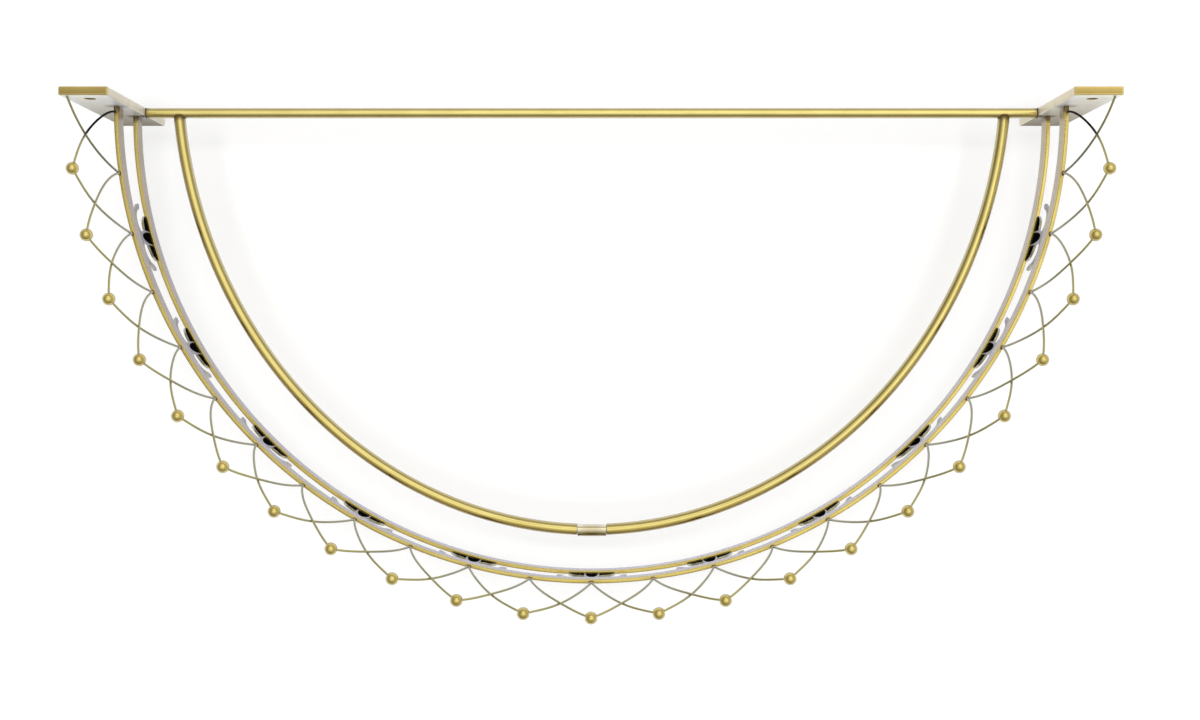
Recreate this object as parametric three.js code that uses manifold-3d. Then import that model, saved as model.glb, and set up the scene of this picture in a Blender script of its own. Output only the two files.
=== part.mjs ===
// A wall-hung bed crown: two plates screw to the wall and carry two half-round bands, a wire gallery
// with ball beads, scroll ornaments between the bands and a bowed curtain rod behind them.
// Millimetres, +Z up. The wall is the plane y = 0, the crown stands out towards -Y, x = 0 is its
// middle, and z = 0 is at the lower ends of the wall plates.

import * as THREE from 'three';
import { mergeVertices } from 'three/addons/utils/BufferGeometryUtils.js';
import Module from 'manifold-3d';

const wasm = await Module();
wasm.setup();

// Driving dimensions: wall plates
const crownWidth = 800;
const plateWidth = 37.4;
const plateThickness = 6.8;
const plateLength = 165.7;
const plateBevel = 0.75;
const screwHoleDiameter = 7.8;
const screwHoleInset = 18.7;

// Driving dimensions: half-round bands, inset from the outer edges of the wall plates
const bandInset = 26.4;
const bandThickness = 3.4;
const bandHeight = 16;
const bandGap = 38.2;
const lowerBandLift = 43;

// Driving dimensions: rods and the coupling at the front. The curtain rod's axis is inset from the
// outer face of the bands, by so much at the sides and so much at the front.
const backRodDiameter = 8.4;
const backRodWallGap = 0.3;
const rodLevel = 58.4;
const curtainRodDiameter = 9.5;
const curtainRodWall = 0.8;
const rodSideInset = 35.9;
const rodFrontInset = 36.9;
const curtainRodCentreBehindWall = 33.8;
const seatGap = 0.3;
const couplingLength = 23.4;
const couplingDiameter = 9.1;
const couplingBevel = 0.6;
const couplingGap = 0.4;
const couplingSetForward = 0.6;
const studDiameter = 5;
const studReach = 9;
const studRunningGap = 0.12;
const plugLength = 12;

// Driving dimensions: wire gallery and beads
const wireDiameter = 2;
const archHeight = 57.6;
const archFlare = 19;
const footSetback = 1.2;
const firstFootStandoff = 4.6;
const wireCrossingGap = 0.2;
const wireMeetingGap = 0.3;
const halfArchDrop = 3.5;
const halfArchFlare = 22;
const beadDiameter = 10;
const beadGap = 0.3;

// Driving dimensions: ornaments
const ornamentWidth = 58;
const ornamentThickness = 2.6;
const hollowDepth = 1.3;

// One overrun for every cut
const cutOverrun = 2;

// Counts and shares of the sizes above
const archPitches = 24;
const ornamentEvery = 2;
const archesPerLength = 2;
const familyStep = 2;
const flareExponent = 1.93;
const weaveExponent = 6;
const crossingLeanShare = 0.9;
const archFootShares = [1, 0];
const archFootHandleShares = [0.943, 0.565];
const archPeakHandleShares = [0.39, 0.854];
const archPeakShares = [0, 1];
const footOverrunShare = 0.06;
const bandArcSteps = 36;
const rodArcSteps = 30;
const rodSides = 14;
const boreSides = 8;
const roundSides = 24;
const wireSides = 5;
const archSteps = 18;
const beadSides = 8;
const beadRings = 6;
const outlineSteps = 2;

// Sizes worked out from the driving dimensions
const halfWidth = crownWidth / 2;
const plateInnerEdge = halfWidth - plateWidth;
const plateCentre = halfWidth - plateWidth / 2;
const bandRadius = halfWidth - bandInset;
const lowerBandTop = lowerBandLift + bandHeight;
const upperBandBottom = lowerBandTop + bandGap;
const upperBandTop = upperBandBottom + bandHeight;
const backRodDepth = backRodDiameter / 2 + backRodWallGap;
const rodFront = plateThickness + bandRadius - rodFrontInset;
const curtainRodHalfWidth = bandRadius - rodSideInset;
const curtainRodDepth = rodFront + curtainRodCentreBehindWall;
const wireRadius = wireDiameter / 2;
const footRadius = bandRadius - footSetback;
const firstFootAngle = Math.asin(firstFootStandoff / footRadius);
const pitchAngle = (Math.PI - 2 * firstFootAngle) / archPitches;
const crossingShift = (wireRadius + wireCrossingGap / 2) / crossingLeanShare;

// Finishes
const antiqueGold = new THREE.Color(0.8, 0.66, 0.34);
const paleGold = new THREE.Color(0.83, 0.72, 0.46);
const oliveGold = new THREE.Color(0.62, 0.58, 0.4);
const steelGrey = new THREE.Color(0.62, 0.62, 0.6);

function finish(color, roughness) {
  return new THREE.MeshStandardMaterial({ color, roughness, metalness: 1 });
}

const satinRoughness = 0.4;
const polishedRoughness = 0.25;

// Solids: closed geometry in and out of the library that joins and cuts

function toSolid(geometry) {
  const bare = geometry.clone();
  bare.deleteAttribute('normal');
  bare.deleteAttribute('uv');
  const merged = mergeVertices(bare);
  return new wasm.Manifold(new wasm.Mesh({
    numProp: 3,
    vertProperties: new Float32Array(merged.getAttribute('position').array),
    triVerts: new Uint32Array(merged.getIndex().array),
  }));
}

function toGeometry(solid) {
  const mesh = solid.getMesh();
  const geometry = new THREE.BufferGeometry();
  geometry.setAttribute('position', new THREE.BufferAttribute(new Float32Array(mesh.vertProperties), 3));
  geometry.setIndex(new THREE.BufferAttribute(new Uint32Array(mesh.triVerts), 1));
  geometry.computeVertexNormals();
  return geometry;
}

function namedMesh(name, geometry, material) {
  const mesh = new THREE.Mesh(geometry, material);
  mesh.name = name;
  return mesh;
}

// A regular polygon as the section of a rod or wire
function roundSection(radius, sides) {
  const section = new THREE.Shape();
  for (let i = 0; i <= sides; i += 1) {
    const angle = (2 * Math.PI * i) / sides;
    const x = radius * Math.cos(angle);
    const y = radius * Math.sin(angle);
    if (i === 0) section.moveTo(x, y);
    else section.lineTo(x, y);
  }
  return section;
}

function sweep(section, path, steps) {
  return new THREE.ExtrudeGeometry(section, { steps, extrudePath: path, bevelEnabled: false });
}

// A block that reaches from a corner point over the given widths
function block(corner, widths) {
  const geometry = new THREE.BoxGeometry(...widths);
  geometry.translate(corner[0] + widths[0] / 2, corner[1] + widths[1] / 2, corner[2] + widths[2] / 2);
  return geometry;
}

// Wall plates: bevelled flat bars with a screw hole near each end

function wallPlateGeometry() {
  const halfFlatWidth = plateWidth / 2 - plateBevel;
  const flatTop = plateLength - plateBevel;
  const outline = new THREE.Shape();
  outline.moveTo(-halfFlatWidth, plateBevel);
  outline.lineTo(halfFlatWidth, plateBevel);
  outline.lineTo(halfFlatWidth, flatTop);
  outline.lineTo(-halfFlatWidth, flatTop);
  outline.closePath();
  const mouthRadius = screwHoleDiameter / 2 + plateBevel;
  for (const level of [screwHoleInset, plateLength - screwHoleInset]) {
    const hole = new THREE.Path();
    hole.absarc(0, level, mouthRadius, 0, 2 * Math.PI, true);
    outline.holes.push(hole);
  }
  const geometry = new THREE.ExtrudeGeometry(outline, {
    depth: plateThickness - 2 * plateBevel,
    bevelThickness: plateBevel,
    bevelSize: plateBevel,
    bevelSegments: 1,
    curveSegments: roundSides / 3,
  });
  geometry.translate(0, 0, plateBevel);
  geometry.rotateX(Math.PI / 2);
  return geometry;
}

function wallPlates() {
  const group = new THREE.Group();
  const geometry = wallPlateGeometry();
  for (const [side, name] of [[-1, 'left_wall_plate'], [1, 'right_wall_plate']]) {
    const plate = namedMesh(name, geometry, finish(antiqueGold, satinRoughness));
    plate.position.x = side * plateCentre;
    group.add(plate);
  }
  return group;
}

// Bands: half-round flat bars whose ends butt on the fronts of the wall plates

function bandGeometry() {
  const plan = new THREE.Shape();
  plan.absarc(0, 0, bandRadius, Math.PI, 2 * Math.PI, false);
  plan.absarc(0, 0, bandRadius - bandThickness, 2 * Math.PI, Math.PI, true);
  plan.closePath();
  return new THREE.ExtrudeGeometry(plan, {
    depth: bandHeight,
    bevelEnabled: false,
    curveSegments: bandArcSteps,
  });
}

function bands() {
  const group = new THREE.Group();
  const geometry = bandGeometry();
  for (const [level, name] of [[lowerBandLift, 'lower_band'], [upperBandBottom, 'upper_band']]) {
    const band = namedMesh(name, geometry, finish(antiqueGold, satinRoughness));
    band.position.z = level;
    group.add(band);
  }
  return group;
}

// Back rod: straight between the inner edges of the wall plates

function rodBetweenPlates(radius, length) {
  const geometry = new THREE.CylinderGeometry(radius, radius, length, roundSides);
  geometry.rotateZ(Math.PI / 2);
  geometry.translate(0, -backRodDepth, rodLevel);
  return geometry;
}

function backRod() {
  const geometry = rodBetweenPlates(backRodDiameter / 2, 2 * plateInnerEdge);
  return namedMesh('back_rod', geometry, finish(antiqueGold, satinRoughness));
}

// Curtain rod: two bowed tubes on one ellipse, brazed to the back rod and joined by a coupling

class RodCurve extends THREE.Curve {
  constructor(side, startAngle, endAngle) {
    super();
    this.side = side;
    this.startAngle = startAngle;
    this.endAngle = endAngle;
  }

  getPoint(share, target = new THREE.Vector3()) {
    const angle = this.startAngle + share * (this.endAngle - this.startAngle);
    const x = this.side * curtainRodHalfWidth * Math.sin(angle);
    const y = curtainRodCentreBehindWall - curtainRodDepth * Math.cos(angle);
    return target.set(x, y, rodLevel);
  }
}

const tubeStart = couplingLength / 2 + couplingGap;
const tubeStartAngle = Math.asin(tubeStart / curtainRodHalfWidth);
const tubeEndAngle = Math.acos((curtainRodCentreBehindWall + backRodDepth) / curtainRodDepth);
const boreRadius = curtainRodDiameter / 2 - curtainRodWall;

function curtainTube(side, name) {
  const section = roundSection(curtainRodDiameter / 2, rodSides);
  section.holes.push(roundSection(boreRadius, boreSides));
  const path = new RodCurve(side, tubeStartAngle, tubeEndAngle);
  const tube = toSolid(sweep(section, path, rodArcSteps));
  const cope = toSolid(rodBetweenPlates(backRodDiameter / 2 + seatGap, crownWidth));
  const beyond = toSolid(block([-halfWidth, -backRodDepth, 0], [crownWidth, crownWidth, plateLength]));
  const geometry = toGeometry(tube.subtract(cope).subtract(beyond));
  return namedMesh(name, geometry, finish(antiqueGold, satinRoughness));
}

function alongX(geometry) {
  geometry.rotateZ(-Math.PI / 2);
  geometry.translate(0, -(rodFront + couplingSetForward), rodLevel);
  return geometry;
}

function coupling() {
  const outer = couplingDiameter / 2;
  const bore = studDiameter / 2 + studRunningGap;
  const end = couplingLength / 2;
  const profile = [
    new THREE.Vector2(bore, -end),
    new THREE.Vector2(outer - couplingBevel, -end),
    new THREE.Vector2(outer, couplingBevel - end),
    new THREE.Vector2(outer, end - couplingBevel),
    new THREE.Vector2(outer - couplingBevel, end),
    new THREE.Vector2(bore, end),
    new THREE.Vector2(bore, -end),
  ];
  const geometry = alongX(new THREE.LatheGeometry(profile, roundSides));
  return namedMesh('rod_coupling', geometry, finish(paleGold, polishedRoughness));
}

// A stud fixed in a tube's end: a curved plug in the tube and a straight pin in the coupling
function couplingStud(side, name) {
  const plugRadius = boreRadius * Math.cos(Math.PI / boreSides) - seatGap;
  const plugEndAngle = Math.asin((tubeStart + plugLength) / curtainRodHalfWidth);
  const plugPath = new RodCurve(side, tubeStartAngle, plugEndAngle);
  const plug = toSolid(sweep(roundSection(plugRadius, boreSides), plugPath, 2));
  const pinStart = couplingLength / 2 - studReach;
  const pinLength = tubeStart + plugLength / 2 - pinStart;
  const pinShape = new THREE.CylinderGeometry(studDiameter / 2, studDiameter / 2, pinLength, boreSides);
  pinShape.translate(0, side * (pinStart + pinLength / 2), 0);
  const pin = toSolid(alongX(pinShape));
  return namedMesh(name, toGeometry(plug.add(pin)), finish(steelGrey, polishedRoughness));
}

function curtainRod() {
  const group = new THREE.Group();
  group.add(curtainTube(-1, 'left_curtain_rod'));
  group.add(curtainTube(1, 'right_curtain_rod'));
  group.add(coupling());
  group.add(couplingStud(-1, 'left_coupling_stud'));
  group.add(couplingStud(1, 'right_coupling_stud'));
  return group;
}

// Wire gallery: pointed arches two pitches wide, standing on the upper band and leaning outwards.
// Each family of arches is brazed foot to foot, and the two families cross halfway between the beads.

function cubic(a, b, c, d, share) {
  const rest = 1 - share;
  return rest ** 3 * a + 3 * rest ** 2 * share * b + 3 * rest * share ** 2 * c + share ** 3 * d;
}

// One arch with its peak at the front; crossing is -1 or 1 for the inner or outer family, whose wires
// bend apart where they cross, and 0 for a wire that doesn't bend aside
class ArchCurve extends THREE.Curve {
  constructor(height, flare, footAngle, crossing, fromPeak) {
    super();
    this.height = height;
    this.flare = flare;
    this.footAngle = footAngle;
    this.crossing = crossing;
    this.start = fromPeak ? -footOverrunShare : -1;
  }

  getPoint(share, target = new THREE.Vector3()) {
    const place = this.start + share * (1 - this.start);
    const limb = 1 - Math.abs(place) * (1 + footOverrunShare);
    const points = [archFootShares, archFootHandleShares, archPeakHandleShares, archPeakShares];
    const across = cubic(...points.map((point) => point[0]), limb);
    const rise = cubic(...points.map((point) => point[1]), limb);
    const lean = this.flare * Math.max(rise, 0) ** flareExponent;
    const bend = Math.abs(Math.sin(Math.PI * Math.min(across, 1))) ** weaveExponent;
    const weave = this.crossing * crossingShift * bend;
    const radius = footRadius + lean + weave;
    const angle = Math.sign(place) * across * this.footAngle;
    return target.set(
      radius * Math.sin(angle),
      -radius * Math.cos(angle),
      upperBandTop + rise * this.height,
    );
  }
}

function turned(geometry, angle) {
  return geometry.rotateZ(angle);
}

function archSolid(angle, crossing) {
  const path = new ArchCurve(archHeight, archFlare, pitchAngle, crossing, false);
  return toSolid(turned(sweep(roundSection(wireRadius, wireSides), path, archSteps), angle));
}

// Half an arch: it leaves the front of a wall plate, passes outside the first whole arch and comes
// down to the first inner foot
function halfArchSolid(side) {
  const height = plateLength - halfArchDrop - upperBandTop;
  const path = new ArchCurve(height, halfArchFlare, firstFootAngle + pitchAngle, 0, true);
  const half = sweep(roundSection(wireRadius, wireSides), path, archSteps / 2);
  half.rotateZ(-Math.PI / 2);
  const solid = toSolid(half);
  return side < 0 ? solid : solid.mirror([1, 0, 0]);
}

// What is cut from every length of wire: below the band's top, behind the fronts of the wall plates
// and past the radial plane at each end that stands on a foot
function trimmed(solid, startAngle, endAngle) {
  const reach = crownWidth;
  const below = toSolid(block([-reach, -reach, -reach], [2 * reach, 2 * reach, reach + upperBandTop]));
  const behind = toSolid(block([-reach, 0, -reach], [2 * reach, reach, 2 * reach]));
  let result = solid.subtract(below).subtract(behind);
  for (const [angle, side] of [[startAngle, -1], [endAngle, 1]]) {
    if (angle === null) continue;
    const near = side < 0 ? -reach : -wireMeetingGap / 2;
    const beyond = block([near, -reach, 0], [reach + wireMeetingGap / 2, reach, reach]);
    result = result.subtract(toSolid(turned(beyond, angle)));
  }
  return result;
}

// Angle of a foot or bead from the front, by its place along the band from the left
function placeAngle(place) {
  return firstFootAngle + place * pitchAngle - Math.PI / 2;
}

function wireLength(name, places, crossing) {
  let solid = null;
  for (const place of places) {
    const arch = archSolid(placeAngle(place), crossing);
    solid = solid === null ? arch : solid.add(arch);
  }
  let startAngle = placeAngle(places[0] - 1);
  let endAngle = placeAngle(places[places.length - 1] + 1);
  if (places[0] === familyStep) {
    solid = solid.add(halfArchSolid(-1));
    startAngle = null;
  }
  if (places[places.length - 1] === archPitches - familyStep) {
    solid = solid.add(halfArchSolid(1));
    endAngle = null;
  }
  const geometry = toGeometry(trimmed(solid, startAngle, endAngle));
  return namedMesh(name, geometry, finish(oliveGold, satinRoughness));
}

// Places of the arches in each length: outer arches stand on even feet, inner ones on odd feet
function outerLengths() {
  const lengths = [];
  for (let place = 1; place < archPitches; place += familyStep * archesPerLength) {
    lengths.push([place, place + familyStep]);
  }
  return lengths;
}

function innerLengths() {
  const middle = archPitches / 2;
  const left = [[familyStep]];
  for (let place = 2 * familyStep; place < middle; place += familyStep * archesPerLength) {
    left.push([place, place + familyStep]);
  }
  const mirrored = left.map((length) => length.map((place) => archPitches - place).reverse());
  return [...left, [middle], ...mirrored.reverse()];
}

function wireGallery() {
  const group = new THREE.Group();
  outerLengths().forEach((places, index) => {
    group.add(wireLength(`outer_scallop_wire_${index + 1}`, places, 1));
  });
  innerLengths().forEach((places, index) => {
    group.add(wireLength(`inner_scallop_wire_${index + 1}`, places, -1));
  });
  return group;
}

// Ball beads: each one is bored along the bend of the wire that carries it

function beadGeometry(crossing) {
  const ball = new THREE.SphereGeometry(beadDiameter / 2, beadSides, beadRings);
  ball.rotateX(Math.PI / 2);
  ball.translate(0, -(footRadius + archFlare), upperBandTop + archHeight);
  const path = new ArchCurve(archHeight, archFlare, pitchAngle, crossing, false);
  const bore = toSolid(sweep(roundSection(wireRadius + beadGap, wireSides), path, archSteps));
  return toGeometry(toSolid(ball).subtract(bore));
}

function beads() {
  const group = new THREE.Group();
  const innerBead = beadGeometry(-1);
  const outerBead = beadGeometry(1);
  for (let place = 1; place < archPitches; place += 1) {
    const geometry = place % familyStep === 0 ? innerBead : outerBead;
    const bead = namedMesh(`bead_${place}`, geometry, finish(antiqueGold, satinRoughness));
    bead.rotation.z = placeAngle(place);
    group.add(bead);
  }
  return group;
}

// Ornaments: a lily with scrolled leaves, pierced through and hollow behind, bent to the bands.
// Outline points are shares of half the ornament's width and of the gap between the bands.

const leafOutlineShares = [
  ['line', [0.15, 0]],
  ['bend', [0.09, 0.1], [0.12, 0.16]],
  ['bend', [0.24, 0.06], [0.36, 0]],
  ['line', [0.56, 0]],
  ['bend', [0.68, 0.08], [0.62, 0.2]],
  ['bend', [0.34, 0.14], [0.2, 0.32]],
  ['line', [0.2, 0.42]],
  ['bend', [0.36, 0.52], [0.44, 0.66]],
  ['bend', [0.6, 0.8], [0.74, 0.66]],
  ['bend', [0.78, 0.52], [0.72, 0.44]],
  ['bend', [0.98, 0.44], [1, 0.64]],
  ['bend', [0.98, 0.88], [0.62, 0.97]],
  ['bend', [0.3, 0.9], [0.14, 0.5]],
  ['bend', [0.26, 0.72], [0.06, 1]],
];

const hollowOutlinesShares = [
  { centre: [0.42, 0.085], size: [0.14, 0.05], turn: 0.3 },
  { centre: [0.6, 0.86], size: [0.2, 0.07], turn: 0 },
];

function ornamentPoint(shares, side) {
  return [(side * shares[0] * ornamentWidth) / 2, shares[1] * bandGap];
}

function ornamentOutline() {
  const right = new THREE.Path();
  right.moveTo(0, 0);
  for (const [kind, ...points] of leafOutlineShares) {
    const places = points.map((shares) => ornamentPoint(shares, 1)).flat();
    if (kind === 'line') right.lineTo(...places);
    else right.quadraticCurveTo(...places);
  }
  const rightPoints = right.getPoints(outlineSteps).slice(1);
  const leftPoints = rightPoints.map((point) => new THREE.Vector2(-point.x, point.y)).reverse();
  return new THREE.Shape([...rightPoints, ...leftPoints]);
}

function hollows() {
  const shapes = [];
  for (const side of [-1, 1]) {
    for (const { centre, size, turn } of hollowOutlinesShares) {
      const [x, y] = ornamentPoint(centre, side);
      const [rx, ry] = [(size[0] * ornamentWidth) / 2, size[1] * bandGap];
      const hollow = new THREE.Shape();
      hollow.absellipse(x, y, rx, ry, 0, 2 * Math.PI, false, side * turn);
      shapes.push(hollow);
    }
  }
  return shapes;
}

// Wraps a flat plate round the bands, with its back at the given radius
function bentToBands(geometry, backRadius) {
  const position = geometry.getAttribute('position');
  for (let i = 0; i < position.count; i += 1) {
    const angle = position.getX(i) / backRadius;
    const radius = backRadius + position.getZ(i);
    position.setXYZ(i, radius * Math.sin(angle), -radius * Math.cos(angle), position.getY(i));
  }
  geometry.computeVertexNormals();
  return geometry;
}

function ornamentGeometry() {
  const plain = { depth: ornamentThickness, bevelEnabled: false };
  let solid = toSolid(new THREE.ExtrudeGeometry(ornamentOutline(), plain));
  const pocketDepth = hollowDepth + cutOverrun;
  const pocketOptions = { depth: pocketDepth, bevelEnabled: false, curveSegments: outlineSteps };
  for (const hollow of hollows()) {
    const pocket = new THREE.ExtrudeGeometry(hollow, pocketOptions);
    pocket.translate(0, 0, -cutOverrun);
    solid = solid.subtract(toSolid(pocket));
  }
  const backRadius = bandRadius - (bandThickness + ornamentThickness) / 2;
  return bentToBands(toGeometry(solid), backRadius);
}

function ornaments() {
  const group = new THREE.Group();
  const geometry = ornamentGeometry();
  let number = 1;
  for (let place = ornamentEvery; place < archPitches; place += ornamentEvery) {
    const ornament = namedMesh(`ornament_${number}`, geometry, finish(antiqueGold, satinRoughness));
    ornament.position.z = lowerBandTop;
    ornament.rotation.z = placeAngle(place);
    group.add(ornament);
    number += 1;
  }
  return group;
}

// What curves round the bed hangs on the plane of the wall plates' fronts
function halfRound() {
  const group = new THREE.Group();
  group.position.y = -plateThickness;
  group.add(bands(), wireGallery(), beads(), ornaments());
  return group;
}

const crown = new THREE.Group();
crown.add(wallPlates(), backRod(), curtainRod(), halfRound());

export default crown;
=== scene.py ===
"""Looks of the bed crown canopy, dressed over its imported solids.

Lengths are in metres in the frame of the solids. The origin is on the wall, midway between the two
wall plates and level with their lower ends. +Z is up and the front faces -Y.
"""

import logging
import math
from collections.abc import Iterable, Iterator, Mapping, Sequence
from contextlib import contextmanager
from dataclasses import dataclass
from enum import Enum

import bmesh
import bpy
import numpy as np
from mathutils import Matrix, Vector
from mathutils.geometry import delaunay_2d_cdt


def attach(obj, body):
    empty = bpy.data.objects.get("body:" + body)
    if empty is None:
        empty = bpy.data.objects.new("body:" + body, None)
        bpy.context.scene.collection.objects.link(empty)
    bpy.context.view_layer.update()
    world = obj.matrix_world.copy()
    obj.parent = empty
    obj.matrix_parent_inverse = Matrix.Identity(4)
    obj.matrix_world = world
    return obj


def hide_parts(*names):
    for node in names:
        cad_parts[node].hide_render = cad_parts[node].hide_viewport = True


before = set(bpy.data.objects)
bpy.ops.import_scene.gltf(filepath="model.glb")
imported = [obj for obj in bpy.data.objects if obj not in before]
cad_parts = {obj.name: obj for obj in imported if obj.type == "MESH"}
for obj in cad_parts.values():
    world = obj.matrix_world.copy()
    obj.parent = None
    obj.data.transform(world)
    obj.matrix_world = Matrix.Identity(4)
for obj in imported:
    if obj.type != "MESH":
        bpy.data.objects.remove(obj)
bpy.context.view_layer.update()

log = logging.getLogger("bed_crown")

Point = tuple[float, float, float]
Colour = tuple[float, float, float]

CROWN_BODY = "crown_frame"
COUPLING_BODY = "coupling"
HALF_ROUND_CENTRE_Y = -0.0068
ROD_LEVEL = 0.0584
MERGE_DISTANCE = 2e-6

# How much of the gold the brazing at a rod's end covers, from 0 to 1
BRAZE_DIRT = 0.85

# An edge starts to wear at the first bend, and is worn through at both together
WEAR_FROM_DEGREES = 14
WEAR_FULL_AFTER_DEGREES = 16


# Node trees


@dataclass(frozen=True)
class Value:
    """A socket of a node tree that takes part in Python arithmetic.

    Each operation adds a Math node to the tree.
    """

    graph: "Graph"
    socket: bpy.types.NodeSocket

    def _math(self, operation: str, *values: "Value | float") -> "Value":
        """Adds a Math node.

        Args:
            operation: The node's operation.
            values: Its operands in order.

        Returns:
            The node's result.
        """
        operands = dict(enumerate(values))
        return self.graph.add("ShaderNodeMath", {"operation": operation}, operands).out("Value")

    def __add__(self, other: "Value | float") -> "Value":
        """self + other"""
        return self._math("ADD", self, other)

    def __radd__(self, other: float) -> "Value":
        """other + self"""
        return self._math("ADD", other, self)

    def __sub__(self, other: "Value | float") -> "Value":
        """self - other"""
        return self._math("SUBTRACT", self, other)

    def __rsub__(self, other: float) -> "Value":
        """other - self"""
        return self._math("SUBTRACT", other, self)

    def __mul__(self, other: "Value | float") -> "Value":
        """self * other"""
        return self._math("MULTIPLY", self, other)

    def __rmul__(self, other: float) -> "Value":
        """other * self"""
        return self._math("MULTIPLY", other, self)

    def __truediv__(self, other: "Value | float") -> "Value":
        """self / other"""
        return self._math("DIVIDE", self, other)

    def __pow__(self, other: "Value | float") -> "Value":
        """self to the power of other"""
        return self._math("POWER", self, other)

    def __abs__(self) -> "Value":
        """The size of self without its sign"""
        return self._math("ABSOLUTE", self)

    def least(self, other: "Value | float") -> "Value":
        """The smaller of self and other"""
        return self._math("MINIMUM", self, other)

    def most(self, other: "Value | float") -> "Value":
        """The larger of self and other"""
        return self._math("MAXIMUM", self, other)

    def sign(self) -> "Value":
        """-1, 0 or 1"""
        return self._math("SIGN", self)

    def sine(self) -> "Value":
        """Sine of an angle in radians"""
        return self._math("SINE", self)

    def cosine(self) -> "Value":
        """Cosine of an angle in radians"""
        return self._math("COSINE", self)

    def root(self) -> "Value":
        """Square root"""
        return self._math("SQRT", self)

    def angle_over(self, other: "Value | float") -> "Value":
        """Angle whose tangent is self over other, all the way round"""
        return self._math("ARCTAN2", self, other)

    def ramp(self, start: float, end: float) -> "Value":
        """Rises smoothly from 0 at start to 1 at end.

        Args:
            start: Where the result is 0.
            end: Where the result is 1. It may lie below start.

        Returns:
            The smooth step.
        """
        low, high = min(start, end), max(start, end)
        step = self.graph.add(
            "ShaderNodeMapRange",
            {"interpolation_type": "SMOOTHSTEP"},
            {"Value": self, "From Min": low, "From Max": high, "To Min": 0.0, "To Max": 1.0},
        ).out("Result")
        return step if start <= end else 1 - step


Input = Value | float | int | bool | str | Sequence[float] | bpy.types.ID


@dataclass(frozen=True)
class Step:
    """One node that was added to a tree."""

    graph: "Graph"
    node: bpy.types.Node

    def out(self, name: str) -> Value:
        """The enabled output socket of that name"""
        found = next(s for s in self.node.outputs if s.name == name and s.enabled)
        return Value(self.graph, found)


class Graph:
    """A node tree whose nodes all come from one method."""

    def __init__(self, tree: bpy.types.NodeTree) -> None:
        """Keeps the tree that the nodes go into."""
        self.tree = tree

    def add(
        self,
        kind: str,
        settings: Mapping[str, object] | None = None,
        inputs: Mapping[str | int, Input] | None = None,
    ) -> Step:
        """Adds a node.

        Args:
            kind: The node's type.
            settings: Its properties, which are set first.
            inputs: Values or links, by the name or number of the socket.

        Returns:
            The node with its outputs.
        """
        node = self.tree.nodes.new(kind)
        for name, value in (settings or {}).items():
            setattr(node, name, value)
        for key, value in (inputs or {}).items():
            if isinstance(key, int):
                socket = node.inputs[key]
            else:
                socket = next(s for s in node.inputs if s.name == key and s.enabled)
            if isinstance(value, Value):
                self.tree.links.new(value.socket, socket)
            else:
                socket.default_value = value
        return Step(self, node)

    def mix(self, share: Value | float, first: Input, second: Input) -> Value:
        """Mixes two colours.

        Args:
            share: How much of the second colour there is, from 0 to 1.
            first: The colour at 0.
            second: The colour at 1.

        Returns:
            The mixed colour.
        """
        values = {"Factor": share, "A": opaque(first), "B": opaque(second)}
        return self.add("ShaderNodeMix", {"data_type": "RGBA"}, values).out("Result")

    def vector(self, x: Value | float, y: Value | float, z: Value | float) -> Value:
        """Puts three numbers together as a vector"""
        return self.add("ShaderNodeCombineXYZ", None, {"X": x, "Y": y, "Z": z}).out("Vector")

    def parts(self, vector: Value) -> tuple[Value, Value, Value]:
        """Takes a vector apart into its three numbers"""
        step = self.add("ShaderNodeSeparateXYZ", None, {"Vector": vector})
        return step.out("X"), step.out("Y"), step.out("Z")


def opaque(colour: Input) -> Input:
    """A plain colour with full alpha; a socket's colour is left as it is"""
    return (*colour, 1.0) if isinstance(colour, tuple) and len(colour) == 3 else colour


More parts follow.
